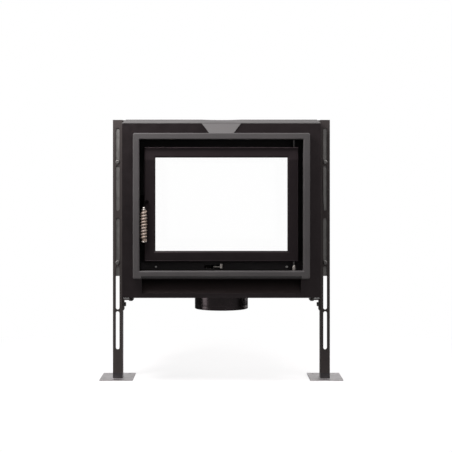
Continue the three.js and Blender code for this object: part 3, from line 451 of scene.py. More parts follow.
# The door's top-face film and bands are painted light and a painted highlight
paint("door_black", (0.0120, 0.0094, 0.0102), 0.40, 0.22, dust_and_highlight=0.5, painted_highlight_above=DOOR_PAINTED_HIGHLIGHT_ABOVE, tint=BLACK_TINT,
      painted_light_bands=DOOR_PAINTED_LIGHT_BANDS)
paint("ramp_black", (0.0078, 0.0060, 0.0058), 0.6, 0.2, worn=1.3, dust_and_highlight=0.0, tint=BLACK_TINT, painted_light_bands=RAMP_PAINTED_LIGHT_BAND)
paint("leg_black", (0.044, 0.0400, 0.0375), 0.5, 0.35, tint=BLACK_TINT)
paint("firebox_steel", (0.026, 0.0245, 0.0250), 0.65, 0.15, painted_light_bands=RECESS_PAINTED_LIGHT_BAND)
plated("zinc_plate", (0.64, 0.63, 0.61), 0.30, 110, (1, 1, 0.1))
plated("dull_zinc", (0.20, 0.197, 0.19), 0.5, 110, (1, 1, 0.1))
plated("bright_steel", (0.55, 0.52, 0.48), 0.26, 400, (1, 0.05, 1))
plated("dark_steel", (0.10, 0.098, 0.095), 0.4, 300)
brick()
cast_iron()
foot_plate()
grip_wire()
rope()
stove_glass()


# Mesh building
AXES = {
    "x": (Vector((0, 1, 0)), Vector((0, 0, 1)), Vector((1, 0, 0))),
    "y": (Vector((0, 0, 1)), Vector((1, 0, 0)), Vector((0, 1, 0))),
    "z": (Vector((1, 0, 0)), Vector((0, 1, 0)), Vector((0, 0, 1))),
}
HEX_SIDES = 72
HEX_CHAMFER = 0.97
HEX_CHAMFER_SLOPE = tan(radians(30))
THREAD_SIDES = 32
THREAD_DEPTH_SHARE = 0.3
RIDGE_SHARES = (0.15, 0.5)
MERGE = 1e-7
SHARP_ANGLE = radians(32)


def around(sides):
    return [2 * pi * i / sides for i in range(sides)]


class Shell:
    """Vertices and faces of one piece, added form by form."""

    def __init__(self):
        self.vertices = []
        self.faces = []

    def add_rings(self, rings, closed=False):
        """Skins rings of equal length. A ring may be a single point at either end."""
        starts = []
        for ring in rings:
            starts.append((len(self.vertices), len(ring)))
            self.vertices.extend(ring)
        pairs = list(zip(starts, starts[1:]))
        if closed:
            pairs.append((starts[-1], starts[0]))
        for (a, a_count), (b, b_count) in pairs:
            for j in range(max(a_count, b_count)):
                k = (j + 1) % max(a_count, b_count)
                if a_count == 1:
                    self.faces.append((a, b + k, b + j))
                elif b_count == 1:
                    self.faces.append((a + j, a + k, b))
                else:
                    self.faces.append((a + j, a + k, b + k, b + j))
        if not closed:
            for (start, count), step in ((starts[0], -1), (starts[-1], 1)):
                if count > 2:
                    self.faces.append(tuple(range(start, start + count))[::step])

    def lathe(self, profile, axis, origin, sides, closed=False):
        """Turns (radius, along) points about an axis through origin."""
        u, v, w = AXES[axis]
        rings = []
        for radius, along in profile:
            middle = Vector(origin) + w * along
            if radius < MERGE:
                rings.append([middle])
                continue
            rings.append([middle + u * radius * cos(t) + v * radius * sin(t) for t in around(sides)])
        self.add_rings(rings, closed=closed)

    def ball(self, radius, origin, steps, sides):
        self.lathe([(0, -radius), *arc((0, 0), radius, -88, 88, steps), (0, radius)], "z", origin, sides)

    def disc(self, radius, low, high, origin, sides):
        """A plain upright cylinder."""
        self.lathe([(0, low), (radius, low), (radius, high), (0, high)], "z", origin, sides)

    def barrel(self, radius, low, high, cuts, axis, origin, sides):
        """A cylinder with a chamfer at each end, given as (across, along)."""
        (across, along), (across_high, along_high) = cuts
        self.lathe([(0, low), (radius - across, low), (radius, low + along), (radius, high - along_high),
                    (radius - across_high, high), (0, high)], axis, origin, sides)

    def hexagon(self, flats, low, high, axis, origin, chamfer_low, chamfer_high):
        """A hexagon head or nut with the round chamfer that turning leaves."""
        u, v, w = AXES[axis]
        apothem = flats / 2
        limit = HEX_CHAMFER * apothem

        def ring(level, sign, held=False):
            points = []
            for t in around(HEX_SIDES):
                radius = apothem / cos((t + pi / 6) % (pi / 3) - pi / 6)
                drop = sign * max(0.0, radius - limit) * HEX_CHAMFER_SLOPE
                if held:
                    radius = min(radius, limit)
                middle = Vector(origin) + w * (level + drop)
                points.append(middle + u * radius * cos(t) + v * radius * sin(t))
            return points

        rings = [ring(low, 0, held=True), ring(low, 1)] if chamfer_low else [ring(low, 0)]
        rings += [ring(high, -1), ring(high, 0, held=True)] if chamfer_high else [ring(high, 0)]
        self.add_rings(rings)

    def thread(self, radius, low, high, axis, origin, pitch):
        """A threaded shank with one ridge a pitch."""
        depth = THREAD_DEPTH_SHARE * pitch
        before, wide = RIDGE_SHARES
        profile = [(0, low), (radius - depth, low)]
        count = max(2, int((high - low) / pitch))
        for i in range(count):
            start = low + (high - low) * (i + before) / count
            profile += [(radius - depth, start), (radius, start + wide * (high - low) / count)]
        profile += [(radius - depth, high), (0, high)]
        self.lathe(profile, axis, origin, THREAD_SIDES)

    def sweep(self, points, radius, sides):
        """A round bar along points."""
        rings = []
        normal = None
        for i, point in enumerate(points):
            tangent = (points[min(i + 1, len(points) - 1)] - points[max(i - 1, 0)]).normalized()
            if normal is None:
                normal = tangent.orthogonal().normalized()
            normal = (normal - tangent * normal.dot(tangent)).normalized()
            across = tangent.cross(normal)
            rings.append([point + normal * radius * cos(t) + across * radius * sin(t) for t in around(sides)])
        self.add_rings(rings)

    def brick(self, low, high):
        """A plain block, for small parts that a bevel finishes."""
        (x0, y0, z0), (x1, y1, z1) = low, high
        corners = ((x0, y0), (x1, y0), (x1, y1), (x0, y1))
        self.add_rings([[Vector((x, y, z)) for x, y in corners] for z in (z0, z1)])


def closed_object(name, shell, finish, sharp=None):
    """An object from a shell, its forms closed and facing out. Edges under the sharp angle are smoothed."""
    mesh = bpy.data.meshes.new(name)
    mesh.from_pydata([tuple(v) for v in shell.vertices], [], shell.faces)
    work = bmesh.new()
    work.from_mesh(mesh)
    bmesh.ops.remove_doubles(work, verts=work.verts, dist=MERGE)
    bmesh.ops.recalc_face_normals(work, faces=work.faces)
    if sharp:
        for edge in work.edges:
            edge.smooth = len(edge.link_faces) == 2 and edge.calc_face_angle() < sharp
        for face in work.faces:
            face.smooth = True
    work.to_mesh(mesh)
    work.free()
    mesh.materials.append(materials[finish])
    return new_object(name, mesh)


replaced = set()


def piece(name, shell, node, sharp=SHARP_ANGLE, slot=None, finish=None):
    """The object that stands for a CAD node."""
    slot = slot or node_slot[node]
    result = closed_object(name, shell, finish or slot, sharp)
    even = result.modifiers.new("even", "WEIGHTED_NORMAL")
    even.keep_sharp = True
    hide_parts(node)
    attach(result, node_body[node])
    replaced.add(node)


def loose_piece(name, shell, slot, bevel=0.0):
    """A small extra part on the fixed body."""
    result = closed_object(name, shell, slot)
    if bevel:
        rounding = result.modifiers.new("rounding", "BEVEL")
        rounding.width = bevel
        rounding.segments = 2
    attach(result, node_body["top_hood"])


def span(node):
    """Lowest corner, highest corner and middle of a CAD node."""
    low, high = (Vector(corner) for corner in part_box(node))
    return low, high, (low + high) / 2


def arc(centre, radius, start, end, steps):
    """(radius, along) points of a rounded edge, angles in degrees."""
    points = []
    for i in range(steps + 1):
        t = radians(start + (end - start) * i / steps)
        points.append((centre[0] + radius * cos(t), centre[1] + radius * sin(t)))
    return points


def quarter(steps):
    return [pi / 2 * i / steps for i in range(steps + 1)]


# Carried-over nodes: rounded sheet edges in millimetres and their finish
EDGE_ROUNDING = {
    "lining_right": 1.6, "lining_left": 1.6, "hearth_slab": 1.6, "baffle_plate": 1.6, "grate": 1.4,
    "leg_right": 0.5, "leg_left": 0.5, "foot_plate_right": 0.5, "foot_plate_left": 0.5,
    "front_panel": 1.2, "rear_panel": 1.2, "top_hood": 0.45, "latch_cam": 0.5, "latch_keeper": 0.5,
}
USUAL_ROUNDING = 0.4
WELD_DISTANCE = 0.002 * MM
FLAT_ANGLE = radians(0.5)
ROUNDED_ANGLE = radians(35)
FINISHES = {"foot_plate_right": "foot_plate", "foot_plate_left": "foot_plate", "latch_keeper": "recess_black",
            "air_ramp": "ramp_black"}


def dress(node):
    part = frame["nodes"][node]
    part.data.materials.clear()
    part.data.materials.append(materials[FINISHES.get(node, node_slot[node])])
    weld = part.modifiers.new("weld", "WELD")
    weld.merge_threshold = WELD_DISTANCE
    flat = part.modifiers.new("flat", "DECIMATE")
    flat.decimate_type = "DISSOLVE"
    flat.angle_limit = FLAT_ANGLE
    rounding = part.modifiers.new("rounding", "BEVEL")
    rounding.width = EDGE_ROUNDING.get(node, USUAL_ROUNDING) * MM
    rounding.segments = 2
    rounding.limit_method = "ANGLE"
    rounding.angle_limit = ROUNDED_ANGLE


# Rectangular rims: one cross-section carried round a rectangle
CORNER_STEPS = 8
CORNERS = ((1, 1, 0), (-1, 1, 90), (-1, -1, 180), (1, -1, 270))


def rim_ring(half, low, high, radius, y, stops=()):
    """A rounded rectangle at one depth; stops are places along its lower side that get a point."""
    ring = []
    for cx, cz, start in CORNERS:
        middle = (low if cz < 0 else high) - cz * radius
        for i in range(CORNER_STEPS + 1):
            t = radians(start + 90 * i / CORNER_STEPS)
            x = cx * (half - radius) + radius * cos(t)
            ring.append(Vector((x, y, middle + radius * sin(t))))
        if start == 180:
            ring += [Vector((x, y, low)) for x in stops]
    return ring


def rim(shell, section, inner, outer, radii, stops=(), change=None):
    """Carries (share, depth) points from the inner rectangle (half, low, high) out to the outer one."""
    rings = []
    pairs = list(zip((*inner, radii[0]), (*outer, radii[1])))
    for share, y in section:
        ring = rim_ring(*(a + (b - a) * share for a, b in pairs), y, stops)
        rings.append([change(point) for point in ring] if change else ring)
    shell.add_rings(rings, closed=True)


# Raised frames: folded channels with soft edges and a bevel under the bottom bar
FRAME_BAR = 17.2 * MM
FRAME_FOOT = 21.4 * MM
FRAME_SHEET = 2.5 * MM
FRAME_SOFT = 3 * MM
FRAME_FRONT_THICK = 7.5 * MM
FRAME_RADII = mm(2.5, 5)
FRAME_SHARP = radians(40)
DRIP = 7.4 * MM
DRIP_SOFT = 0.8 * MM
DRIP_SHARES = (0.42, 0.36)
DRIP_HALF = 212 * MM
DRIP_END = 0.2 * MM


def make_frame(node, sign):
    """The front frame for sign 1, the same form mirrored to the rear for sign -1."""
    low, high, _ = span(node)
    front, back = sorted((abs(low.y), abs(high.y)), reverse=True)
    soft, sheet, deep = FRAME_SOFT, FRAME_SHEET, front - back
    section = [(0, deep)]
    section += [(soft - soft * cos(t), soft - soft * sin(t)) for t in quarter(6)]
    section += [(FRAME_BAR * (1 - share), 0) for share in DRIP_SHARES]
    section += [(FRAME_BAR - soft + soft * sin(t), soft - soft * cos(t)) for t in quarter(6)]
    section += [(FRAME_BAR, deep), (FRAME_BAR - sheet, deep), (FRAME_BAR - sheet, FRAME_FRONT_THICK),
                (sheet, FRAME_FRONT_THICK), (sheet, deep)]

    def drip(point):
        if abs(point.x) > DRIP_HALF + DRIP_END / 2 or point.z > low.z + 2 * FRAME_FOOT:
            return point
        cut = DRIP - (point.z - low.z) - (point.y + front)
        cut = (cut + hypot(cut, DRIP_SOFT)) / 4
        return point + Vector((0, cut, cut))

    shell = Shell()
    inner = (high.x - FRAME_BAR, low.z + FRAME_FOOT, high.z - FRAME_BAR)
    stops = [-DRIP_HALF - DRIP_END, -DRIP_HALF, 0.0, DRIP_HALF, DRIP_HALF + DRIP_END]
    rim(shell, [(along / FRAME_BAR, -(front - depth)) for along, depth in section], inner,
        (high.x, low.z, high.z), FRAME_RADII, stops, drip)
    if sign < 0:
        shell.vertices = [Vector((p.x, -p.y, p.z)) for p in shell.vertices]
    piece("folded_" + node, shell, node, sharp=FRAME_SHARP)


# Door frame: bevelled window, flat face and a rolled bead round its outer edge. The window's edge is a row of
# (along, depth) points, and the shoulder before the bead is one too, counted from the bead
DOOR_STILE = 29 * MM
DOOR_RAIL = 28 * MM
DOOR_RADII = mm(0.3, 1.2)
WINDOW_EDGE = (mm(0, 3), mm(0.4, 2.65), mm(4.5, 0.7), mm(5.4, 0.5))
SHOULDER = (mm(-1, 0.5), mm(0, 1), mm(0.4, 0.9))
BEAD_HALF = 1.5 * MM
BEAD_RISE = mm(1.2, 1.3)
BEAD_FALL = mm(1.5, 1.7)
GLASS_REBATE = mm(5, 6)
ROPE_GROOVE = mm(7, 14, 5)


def make_door():
    low, high, _ = span("door_frame")
    deep = high.y - low.y
    crest = DOOR_STILE - BEAD_HALF
    (rise, rise_deep), (fall, fall_deep) = BEAD_RISE, BEAD_FALL
    lip, lip_deep = GLASS_REBATE
    rope_in, rope_out, rope_deep = ROPE_GROOVE
    section = [*WINDOW_EDGE, *((crest - BEAD_HALF + along, depth) for along, depth in SHOULDER)]
    section += [(crest - rise * cos(t), rise_deep - rise_deep * sin(t)) for t in quarter(5)]
    section += [(crest + fall * sin(t), fall_deep - fall_deep * cos(t)) for t in quarter(5)]
    section += [(DOOR_STILE, deep), (rope_out, deep), (rope_out, deep - rope_deep),
                (rope_in, deep - rope_deep), (rope_in, deep), (lip, deep), (lip, lip_deep), (0, lip_deep)]
    shell = Shell()
    inner = (high.x - DOOR_STILE, low.z + DOOR_RAIL, high.z - DOOR_RAIL)
    rim(shell, [(along / DOOR_STILE, low.y + depth) for along, depth in section], inner,
        (high.x, low.z, high.z), DOOR_RADII)
    piece("beaded_door_frame", shell, "door_frame")


# Door handle: turned spindle, forged stem with its bead, collar and domed cap. Places on the stem are
# (left of the spindle, above it)
SPINDLE_RADIUS = 4 * MM
SPINDLE_SOFT = 1.2 * MM
SPINDLE_CHAMFER = 0.6 * MM
STEM_RADIUS = 2.5 * MM
STEM_START = mm(4.6, 1.25)
STEM_BEND = mm(5.4, -7)
STEM_STEPS = 14
STEM_END = 1 * MM
JOINT_RADIUS = 3.2 * MM
JOINT_PLACE = mm(3.6, 0.7)
BEAD_RADIUS = 4.5 * MM
BEAD_DROP = 18 * MM
BEAD_COLLAR = mm(3.2, 0.5)
BEAD_COLLAR_SHARE = 0.86
GRIP_DROP = 22.5 * MM
GRIP_GAP = 0.3 * MM
COLLAR_HEIGHT = 3 * MM
COLLAR_SOFT = mm(0.5, 1.2)
CAP_INSET = 1.1 * MM
CAP_SOFT = 2.2 * MM
CAP_CHAMFER = mm(0.5, 0.9)


def make_handle():
    low, high, _ = span("handle_spindle")
    grip_low, grip_high, grip = span("handle_grip")
    grip_x, grip_y = grip.x, grip.y
    spindle_x = high.x - SPINDLE_RADIUS
    spindle_z = grip_high.z + GRIP_GAP + GRIP_DROP
    front = max(low.y, grip_y - STEM_RADIUS)
    soft, chamfer = SPINDLE_SOFT, SPINDLE_CHAMFER
    shell = Shell()
    shell.lathe([(0, front), *arc((SPINDLE_RADIUS - soft, front + soft), soft, -90, 0, 5),
                 (SPINDLE_RADIUS, high.y - chamfer), (SPINDLE_RADIUS - chamfer, high.y), (0, high.y)],
                "y", (spindle_x, 0, spindle_z), 64)
    bead_z = spindle_z - BEAD_DROP
    heights = (bead_z, grip.z, grip_low.z - STEM_END)
    path = [Vector((spindle_x - left, grip_y, spindle_z + above)) for left, above in (STEM_START, STEM_BEND)]
    path += [Vector((grip_x, grip_y, height)) for height in heights]
    shell.sweep(smooth_path(path, STEM_STEPS), STEM_RADIUS, 24)
    shell.ball(JOINT_RADIUS, (spindle_x - JOINT_PLACE[0], grip_y + JOINT_PLACE[1], spindle_z), 14, 32)
    piece("turned_handle_spindle", shell, "handle_spindle", slot="door_black", finish="recess_black")
    make_grip_ends((grip_x, grip_y, 0), low.z, bead_z, grip_low, grip_high)
    make_coil(grip_x, grip_y, grip_low.z, grip_high.z, (grip_high.x - grip_low.x) / 2)


def make_grip_ends(origin, bottom, bead_z, grip_low, grip_high):
    """The bead on the stem, the collar above the coil and the cap below it."""
    shell = Shell()
    shell.ball(BEAD_RADIUS, (*origin[:2], bead_z), 18, 40)
    wide, thin = BEAD_COLLAR
    for offset in (-1, 1):
        centre = bead_z + offset * BEAD_COLLAR_SHARE * BEAD_RADIUS
        shell.disc(wide, centre - thin, centre + thin, origin, 32)
    cap = (grip_high.x - grip_low.x) / 2 - CAP_INSET
    collar = cap - CAP_INSET
    collar_low = bead_z + BEAD_DROP - GRIP_DROP
    collar_high = collar_low + COLLAR_HEIGHT
    under, over = COLLAR_SOFT
    shell.lathe([(0, collar_low), *arc((collar - under, collar_low + under), under, -90, 0, 3),
                 *arc((collar - over, collar_high - over), over, 0, 90, 4), (0, collar_high)],
                "z", origin, 48)
    across, along = CAP_CHAMFER
    cap_top = grip_low.z - GRIP_GAP
    shell.lathe([(0, bottom), *arc((cap - CAP_SOFT, bottom + CAP_SOFT), CAP_SOFT, -90, 0, 6),
                 (cap, grip_low.z - along), (cap - across, cap_top), (0, cap_top)], "z", origin, 48)
    piece("grip_bead_and_cap", shell, "handle_spindle")


# Coil grip: END_BEND holds (aside, away) of the wire's straight ends as shares of their run
END_RUN = 5.2 * MM
END_BEND = ((0, 1), (0, 0.62), (0.10, 0.25))
COIL_WIRE = 6.4 * MM
COIL_TURNS = 9
COIL_STEPS = 32
COIL_TAPER = 0.6 * MM
COIL_FLATNESS = 6
CORE_WALL = 2.4 * MM
CORE_CUT = 0.2 * MM


def make_coil(x, y, low, high, outer):
    """The spring grip: one unbroken wire with a straight end at each seat, wound on a thin core."""
    mean = outer - COIL_WIRE / 2
    first, last = low + END_RUN, high - END_RUN
    points = []
    total = COIL_TURNS * COIL_STEPS
    for i in range(total + 1):
        share = i / total
        turn = 2 * pi * i / COIL_STEPS
        radius = mean - COIL_TAPER * abs(2 * share - 1) ** COIL_FLATNESS
        level = first + share * (last - first)
        points.append(Vector((x + radius * cos(turn), y + radius * sin(turn), level)))
    ends = [Vector((0, aside * END_RUN, -away * END_RUN)) for aside, away in END_BEND]
    start = [points[0] + end for end in ends]
    finish = [points[-1] - end for end in reversed(ends)]
    shell = Shell()
    shell.sweep(start + points[2:-2] + finish, COIL_WIRE / 2, 18)
    inside = mean - COIL_WIRE / 2 + CORE_CUT
    core = inside + CORE_WALL
    shell.lathe([(inside, low), (core, low), (core, high), (inside, high)], "z", (x, y, 0), 48, closed=True)
    piece("spring_grip", shell, "handle_grip")


def smooth_path(points, steps):
    """Catmull-Rom points through the given ones."""
    padded = [2 * points[0] - points[1], *points, 2 * points[-1] - points[-2]]
    result = []
    for i in range(1, len(padded) - 2):
        p0, p1, p2, p3 = padded[i - 1:i + 3]
        for step in range(steps):
            t = step / steps
            result.append(0.5 * ((2 * p1) + (p2 - p0) * t + (2 * p0 - 5 * p1 + 4 * p2 - p3) * t ** 2
                                 + (3 * p1 - p0 - 3 * p2 + p3) * t ** 3))
    result.append(points[-1])
    return result


# Air lever: bent rod with a turned, grooved knob. A groove is its two half widths and its depth
ROD_RADIUS = 2 * MM
ROD_DROP = 8.6 * MM
BEND_RADIUS = 5 * MM
BEND_STEPS = 8
KNOB_X = 0.0
KNOB_SET_BACK = 4 * MM
KNOB_HIGH = 12.7 * MM
KNOB_SOFT = mm(0.8, 1.6)
KNOB_GROOVES = (0.3, 0.5, 0.7)
KNOB_GROOVE = mm(0.7, 0.3, 0.5)


def bent_path(corners):
    """Straight runs joined by round bends."""
    path = [corners[0]]
    for before, corner, after in zip(corners, corners[1:], corners[2:]):
        towards_start = (before - corner).normalized() * BEND_RADIUS
        towards_end = (after - corner).normalized() * BEND_RADIUS
        centre = corner + towards_start + towards_end
        for t in quarter(BEND_STEPS):
            path.append(centre - towards_end * cos(t) - towards_start * sin(t))
    path.append(corners[-1])
    return path


def make_air_lever():
    low, high, _ = span("air_lever")
    rod_x, back_y = low.x + ROD_RADIUS, high.y - ROD_RADIUS
    knob_y = low.y + KNOB_SET_BACK
    level = high.z - ROD_DROP
    shell = Shell()
    shell.sweep(bent_path([Vector((rod_x, back_y, low.z)), Vector((rod_x, back_y, level)),
                           Vector((rod_x, knob_y, level)), Vector((KNOB_X, knob_y, level))]), ROD_RADIUS, 20)
    radius = high.x - KNOB_X
    under, over = KNOB_SOFT
    knob_low = high.z - KNOB_HIGH
    profile = [(0, knob_low), *arc((radius - under, knob_low + under), under, -90, 0, 4)]
    wide, narrow, deep = KNOB_GROOVE
    for share in KNOB_GROOVES:
        middle = knob_low + share * (high.z - knob_low)
        profile += [(radius, middle - wide), (radius - deep, middle - narrow),
                    (radius - deep, middle + narrow), (radius, middle + wide)]
    profile += [*arc((radius - over, high.z - over), over, 0, 90, 6), (0, high.z)]
    shell.lathe(profile, "z", (KNOB_X, knob_y, 0), 40)
    piece("bent_air_lever", shell, "air_lever")


# Hinge pins: a rod in a domed foot below, a turned pin above. Cuts are (across, along)
PIN_RADIUS = 3 * MM
PIN_TAPER = 0.1 * MM
PIN_CUT = mm(0.8, 1)
PIN_SEAT = 4 * MM
FOOT_HIGH = 15.5 * MM
FOOT_EDGE = 0.4 * MM
DOME_HIGH = 4.2 * MM
UPPER_CUTS = (mm(0.7, 0.9), mm(0.6, 0.6))


def make_hinge_pins():
    low, high, middle = span("hinge_pin_lower")
    origin = (middle.x, middle.y, 0)
    wide = (high.x - low.x) / 2
    pin = PIN_RADIUS
    top = low.z + FOOT_HIGH
    dome, neck, seat = top - DOME_HIGH, top - DOME_HIGH / 2, top - PIN_SEAT
    shell = Shell()
    shell.lathe([(0, low.z), (wide - FOOT_EDGE, low.z), (wide, low.z + FOOT_EDGE), (wide, dome),
                 *arc((pin, dome), wide - pin, 8, 82, 8), (pin, neck), (0, neck)], "z", origin, 48)
    piece("domed_lower_hinge_foot", shell, "hinge_pin_lower")
    shell = Shell()
    shell.lathe([(0, seat), (pin - PIN_TAPER, seat), (pin, high.z - PIN_CUT[1]), (pin - PIN_CUT[0], high.z),
                 (0, high.z)], "z", origin, 40)
    piece("lower_hinge_rod", shell, "hinge_pin_lower", slot="dark_steel")
    low, high, middle = span("hinge_pin_upper")
    shell = Shell()
    shell.barrel((high.x - low.x) / 2, low.z, high.z, UPPER_CUTS, "z", (middle.x, middle.y, 0), 40)
    piece("upper_hinge_rod", shell, "hinge_pin_upper")


# Round sheet parts: the rolled spigot with a groove for its duct, the cast collar with its foot
ROUND_SHEET_SIDES = 128
SPIGOT_RADIUS = 75 * MM
SPIGOT_WALL = 2 * MM
SPIGOT_EDGE = 1.2 * MM
SPIGOT_FLANGE = mm(237.2, 3)
FLANGE_BEND = 1.5 * MM
FLANGE_EDGES = mm(0.5, 0.3)
GROOVE_HEIGHT = 10 * MM
GROOVE_HALF = 3 * MM
GROOVE_DEPTH = 0.15 * MM
COLLAR_BORE = 75 * MM
COLLAR_WALL = 5 * MM
COLLAR_FOOT = 5 * MM
COLLAR_EDGE = 1 * MM
COLLAR_FILLET = 2 * MM


def make_spigot():
    low, high, _ = span("air_spigot")
    outer, inner = SPIGOT_RADIUS, SPIGOT_RADIUS - SPIGOT_WALL
    flange_low, flange = SPIGOT_FLANGE
    flange_high = flange_low + flange
    flange_radius = high.x
    under, over = FLANGE_EDGES
    groove, half = low.z + GROOVE_HEIGHT, GROOVE_HALF
    outline = [(inner, low.z), (outer - SPIGOT_EDGE, low.z), (outer, low.z + SPIGOT_EDGE),
               (outer, groove - half)]
    outline += [(outer - GROOVE_DEPTH * sin(pi * i / 8), groove - half + 2 * half * i / 8)
                for i in range(1, 8)]
    outline += [(outer, groove + half), (outer, flange_low - FLANGE_BEND), (outer + FLANGE_BEND, flange_low),
                (flange_radius - under, flange_low), (flange_radius, flange_low + under),
                (flange_radius, flange_high - over), (flange_radius - over, flange_high),
                (outer, flange_high), (outer, high.z), (inner, high.z)]
    shell = Shell()
    shell.lathe(outline, "z", (0, 0, 0), ROUND_SHEET_SIDES, closed=True)
    piece("rolled_air_spigot", shell, "air_spigot", finish="spigot_black")


def make_flue_collar():
    low, high, _ = span("flue_collar")
    bore, outer = COLLAR_BORE, COLLAR_BORE + COLLAR_WALL
    foot = low.z + COLLAR_FOOT
    edge, fillet = COLLAR_EDGE, COLLAR_FILLET
    outline = [(bore, low.z), (high.x, low.z), (high.x, foot - edge), (high.x - edge, foot),
               (outer + fillet, foot), (outer, foot + fillet), (outer, high.z - edge),
               (outer - edge, high.z), (bore + edge, high.z), (bore, high.z - edge)]
    shell = Shell()
    shell.lathe(outline, "z", (0, 0, 0), ROUND_SHEET_SIDES, closed=True)
    piece("cast_flue_collar", shell, "flue_collar")


# Fasteners: head and shank diameters, and flats worked out from the size over the corners. A socket is its
# radius at the bottom and at the face, then its depth in the middle, at the bottom and at the face. A head's
# form is the flat share of its radius, its height and the power of its curve
CORNER = cos(pi / 6)
CLAMP_HEAD = 12.5 * MM
CLAMP_HEAD_HIGH = 2.5 * MM
CLAMP_HEAD_FORM = (0.45, 0.85 * CLAMP_HEAD_HIGH, 2.2)
CLAMP_SOCKET = mm(2.6, 3.1, 1.2, 1.2, 0.1)
CLAMP_SHANK = 8 * MM
CLAMP_PLAIN = 8.6 * MM
CLAMP_THREAD = 6 * MM
CLAMP_PITCH = 1.5 * MM
CLAMP_FLATS = 13.2 * MM * CORNER
CLAMP_NUT_ENDS = mm(6, 1)
SIDE_FLATS = 11.5 * MM * CORNER
SIDE_NUT_HIGH = 5 * MM
SIDE_SHANK = 6 * MM
SIDE_THREAD = 4 * MM
SIDE_PITCH = 1 * MM
SIDE_END = 1 * MM
BUSH_RADIUS = 8 * MM
BUSH_ENDS = mm(262.3, 275.2)
BUSH_CUTS = (mm(0.6, 0.6),) * 2
HANG_HEAD = 3 * MM
HANG_THREAD = 2 * MM
HANG_SPACER = 5 * MM
HANG_GAP = 0.3 * MM
BRACKET_TOP = 223.5 * MM
BASE_PLATE = mm(240.5, 243.5)
PAN_HEAD_FORM = (0.36, 1.9 * MM, 2.4)
PAN_SOCKET = mm(0.9, 1.2, 0.9, 0.8, 0.1)
PAN_BACK = 0.15 * MM


def socket_head(radius, top, socket, form):
    """(radius, along) points of a domed head, from the middle of its socket out to its edge."""
    narrow, wide, middle, bottom, face = socket
    flat, tall, power = form
    points = [(0, top + middle), (narrow, top + bottom), (wide, top + face)]
    return points + [(radius * (flat + (1 - flat) * i / 8), top + tall * (i / 8) ** power) for i in range(9)]


def make_clamp_bolt(node):
    """Button head with a socket in front, threaded shank and nut behind."""
    low, high, middle = span(node)
    head, shank = CLAMP_HEAD / 2, CLAMP_SHANK / 2
    origin = (middle.x, 0, middle.z)
    under = low.y + CLAMP_HEAD_HIGH
    shell = Shell()
    profile = socket_head(head, low.y, CLAMP_SOCKET, CLAMP_HEAD_FORM)
    profile += [(head, under), (shank, under), (shank, under + CLAMP_PLAIN), (0, under + CLAMP_PLAIN)]
    shell.lathe(profile, "y", origin, 48)
    shell.thread(shank, under + CLAMP_THREAD, high.y, "y", origin, CLAMP_PITCH)
    nut_low, nut_high = (high.y - end for end in CLAMP_NUT_ENDS)
    shell.hexagon(CLAMP_FLATS, nut_low, nut_high, "y", origin, True, True)
    piece("button_" + node, shell, node)


def make_level_bolt(node, bush=False):
    """Hexagon head towards the middle and nut outside; a side bolt also has a bush between casing and leg."""
    low, high, middle = span(node)
    right = middle.x > 0
    origin = (0, middle.y, middle.z)
    inner, outer = sorted((abs(low.x), abs(high.x)))

    def ends(near, far):
        return (near, far) if right else (-far, -near)

    shell = Shell()
    shell.hexagon(SIDE_FLATS, *ends(inner, inner + SIDE_NUT_HIGH), "x", origin, right, not right)
    shell.thread(SIDE_SHANK / 2, *ends(inner + SIDE_THREAD, outer), "x", origin, SIDE_PITCH)
    if bush:
        shell.barrel(BUSH_RADIUS, *ends(*BUSH_ENDS), BUSH_CUTS, "x", origin, 48)
    shell.hexagon(SIDE_FLATS, *ends(outer - SIDE_NUT_HIGH, outer - SIDE_END), "x", origin, not right, right)
    piece("hex_" + node, shell, node)


def make_hang_bolt(node):
    """Upright bolt: head under the bracket, spacer between bracket and base plate, nut inside."""
    low, high, middle = span(node)
    origin = (middle.x, middle.y, 0)
    base_low, base_high = BASE_PLATE
    shell = Shell()
    shell.hexagon(SIDE_FLATS, low.z, low.z + HANG_HEAD, "z", origin, True, False)
    shell.thread(SIDE_SHANK / 2, low.z + HANG_THREAD, high.z - SIDE_END, "z", origin, SIDE_PITCH)
    shell.disc(HANG_SPACER, BRACKET_TOP + HANG_GAP, base_low - HANG_GAP, origin, 40)
    shell.hexagon(SIDE_FLATS, base_high + HANG_GAP, high.z, "z", origin, False, True)
    piece("hex_" + node, shell, node)


def make_recess_screw(node):
    """Pan head with a small round recess."""
    low, high, middle = span(node)
    radius = (high.x - low.x) / 2
    back = high.y - PAN_BACK
    shell = Shell()
    profile = socket_head(radius, low.y, PAN_SOCKET, PAN_HEAD_FORM)
    profile += [(radius, back), (radius / 2, back), (0, high.y)]
    shell.lathe(profile, "y", (middle.x, 0, middle.z), 40)
    piece("pan_" + node, shell, node)


# Button screws on the casing's sides, extra to the CAD nodes: radius and height of washer, head and socket
SCREW_WASHER = mm(5.4, 0.5)
SCREW_WASHER_EDGE = mm(0.3, 0.2)
SCREW_HEAD = mm(4.2, 1.7)
SCREW_SOCKET = mm(1.5, 1)
SCREW_ROWS = 5
SCREW_INSET = 34 * MM
SCREW_END = 30 * MM


def button_screw(shell, centre, base, sign):
    (washer, thin), (head, tall), (socket, deep) = SCREW_WASHER, SCREW_HEAD, SCREW_SOCKET
    under, over = SCREW_WASHER_EDGE
    outline = [(0, 0), (washer - under, 0), (washer, over), (washer - over, thin), (head, thin)]
    outline += [(socket + (head - socket) * cos(t), thin + tall * sin(t)) for t in quarter(6)]
    outline += [(socket, thin + tall - deep), (0, thin + tall - deep)]
    shell.lathe([(radius, sign * (base + along)) for radius, along in outline], "x", centre, 32)


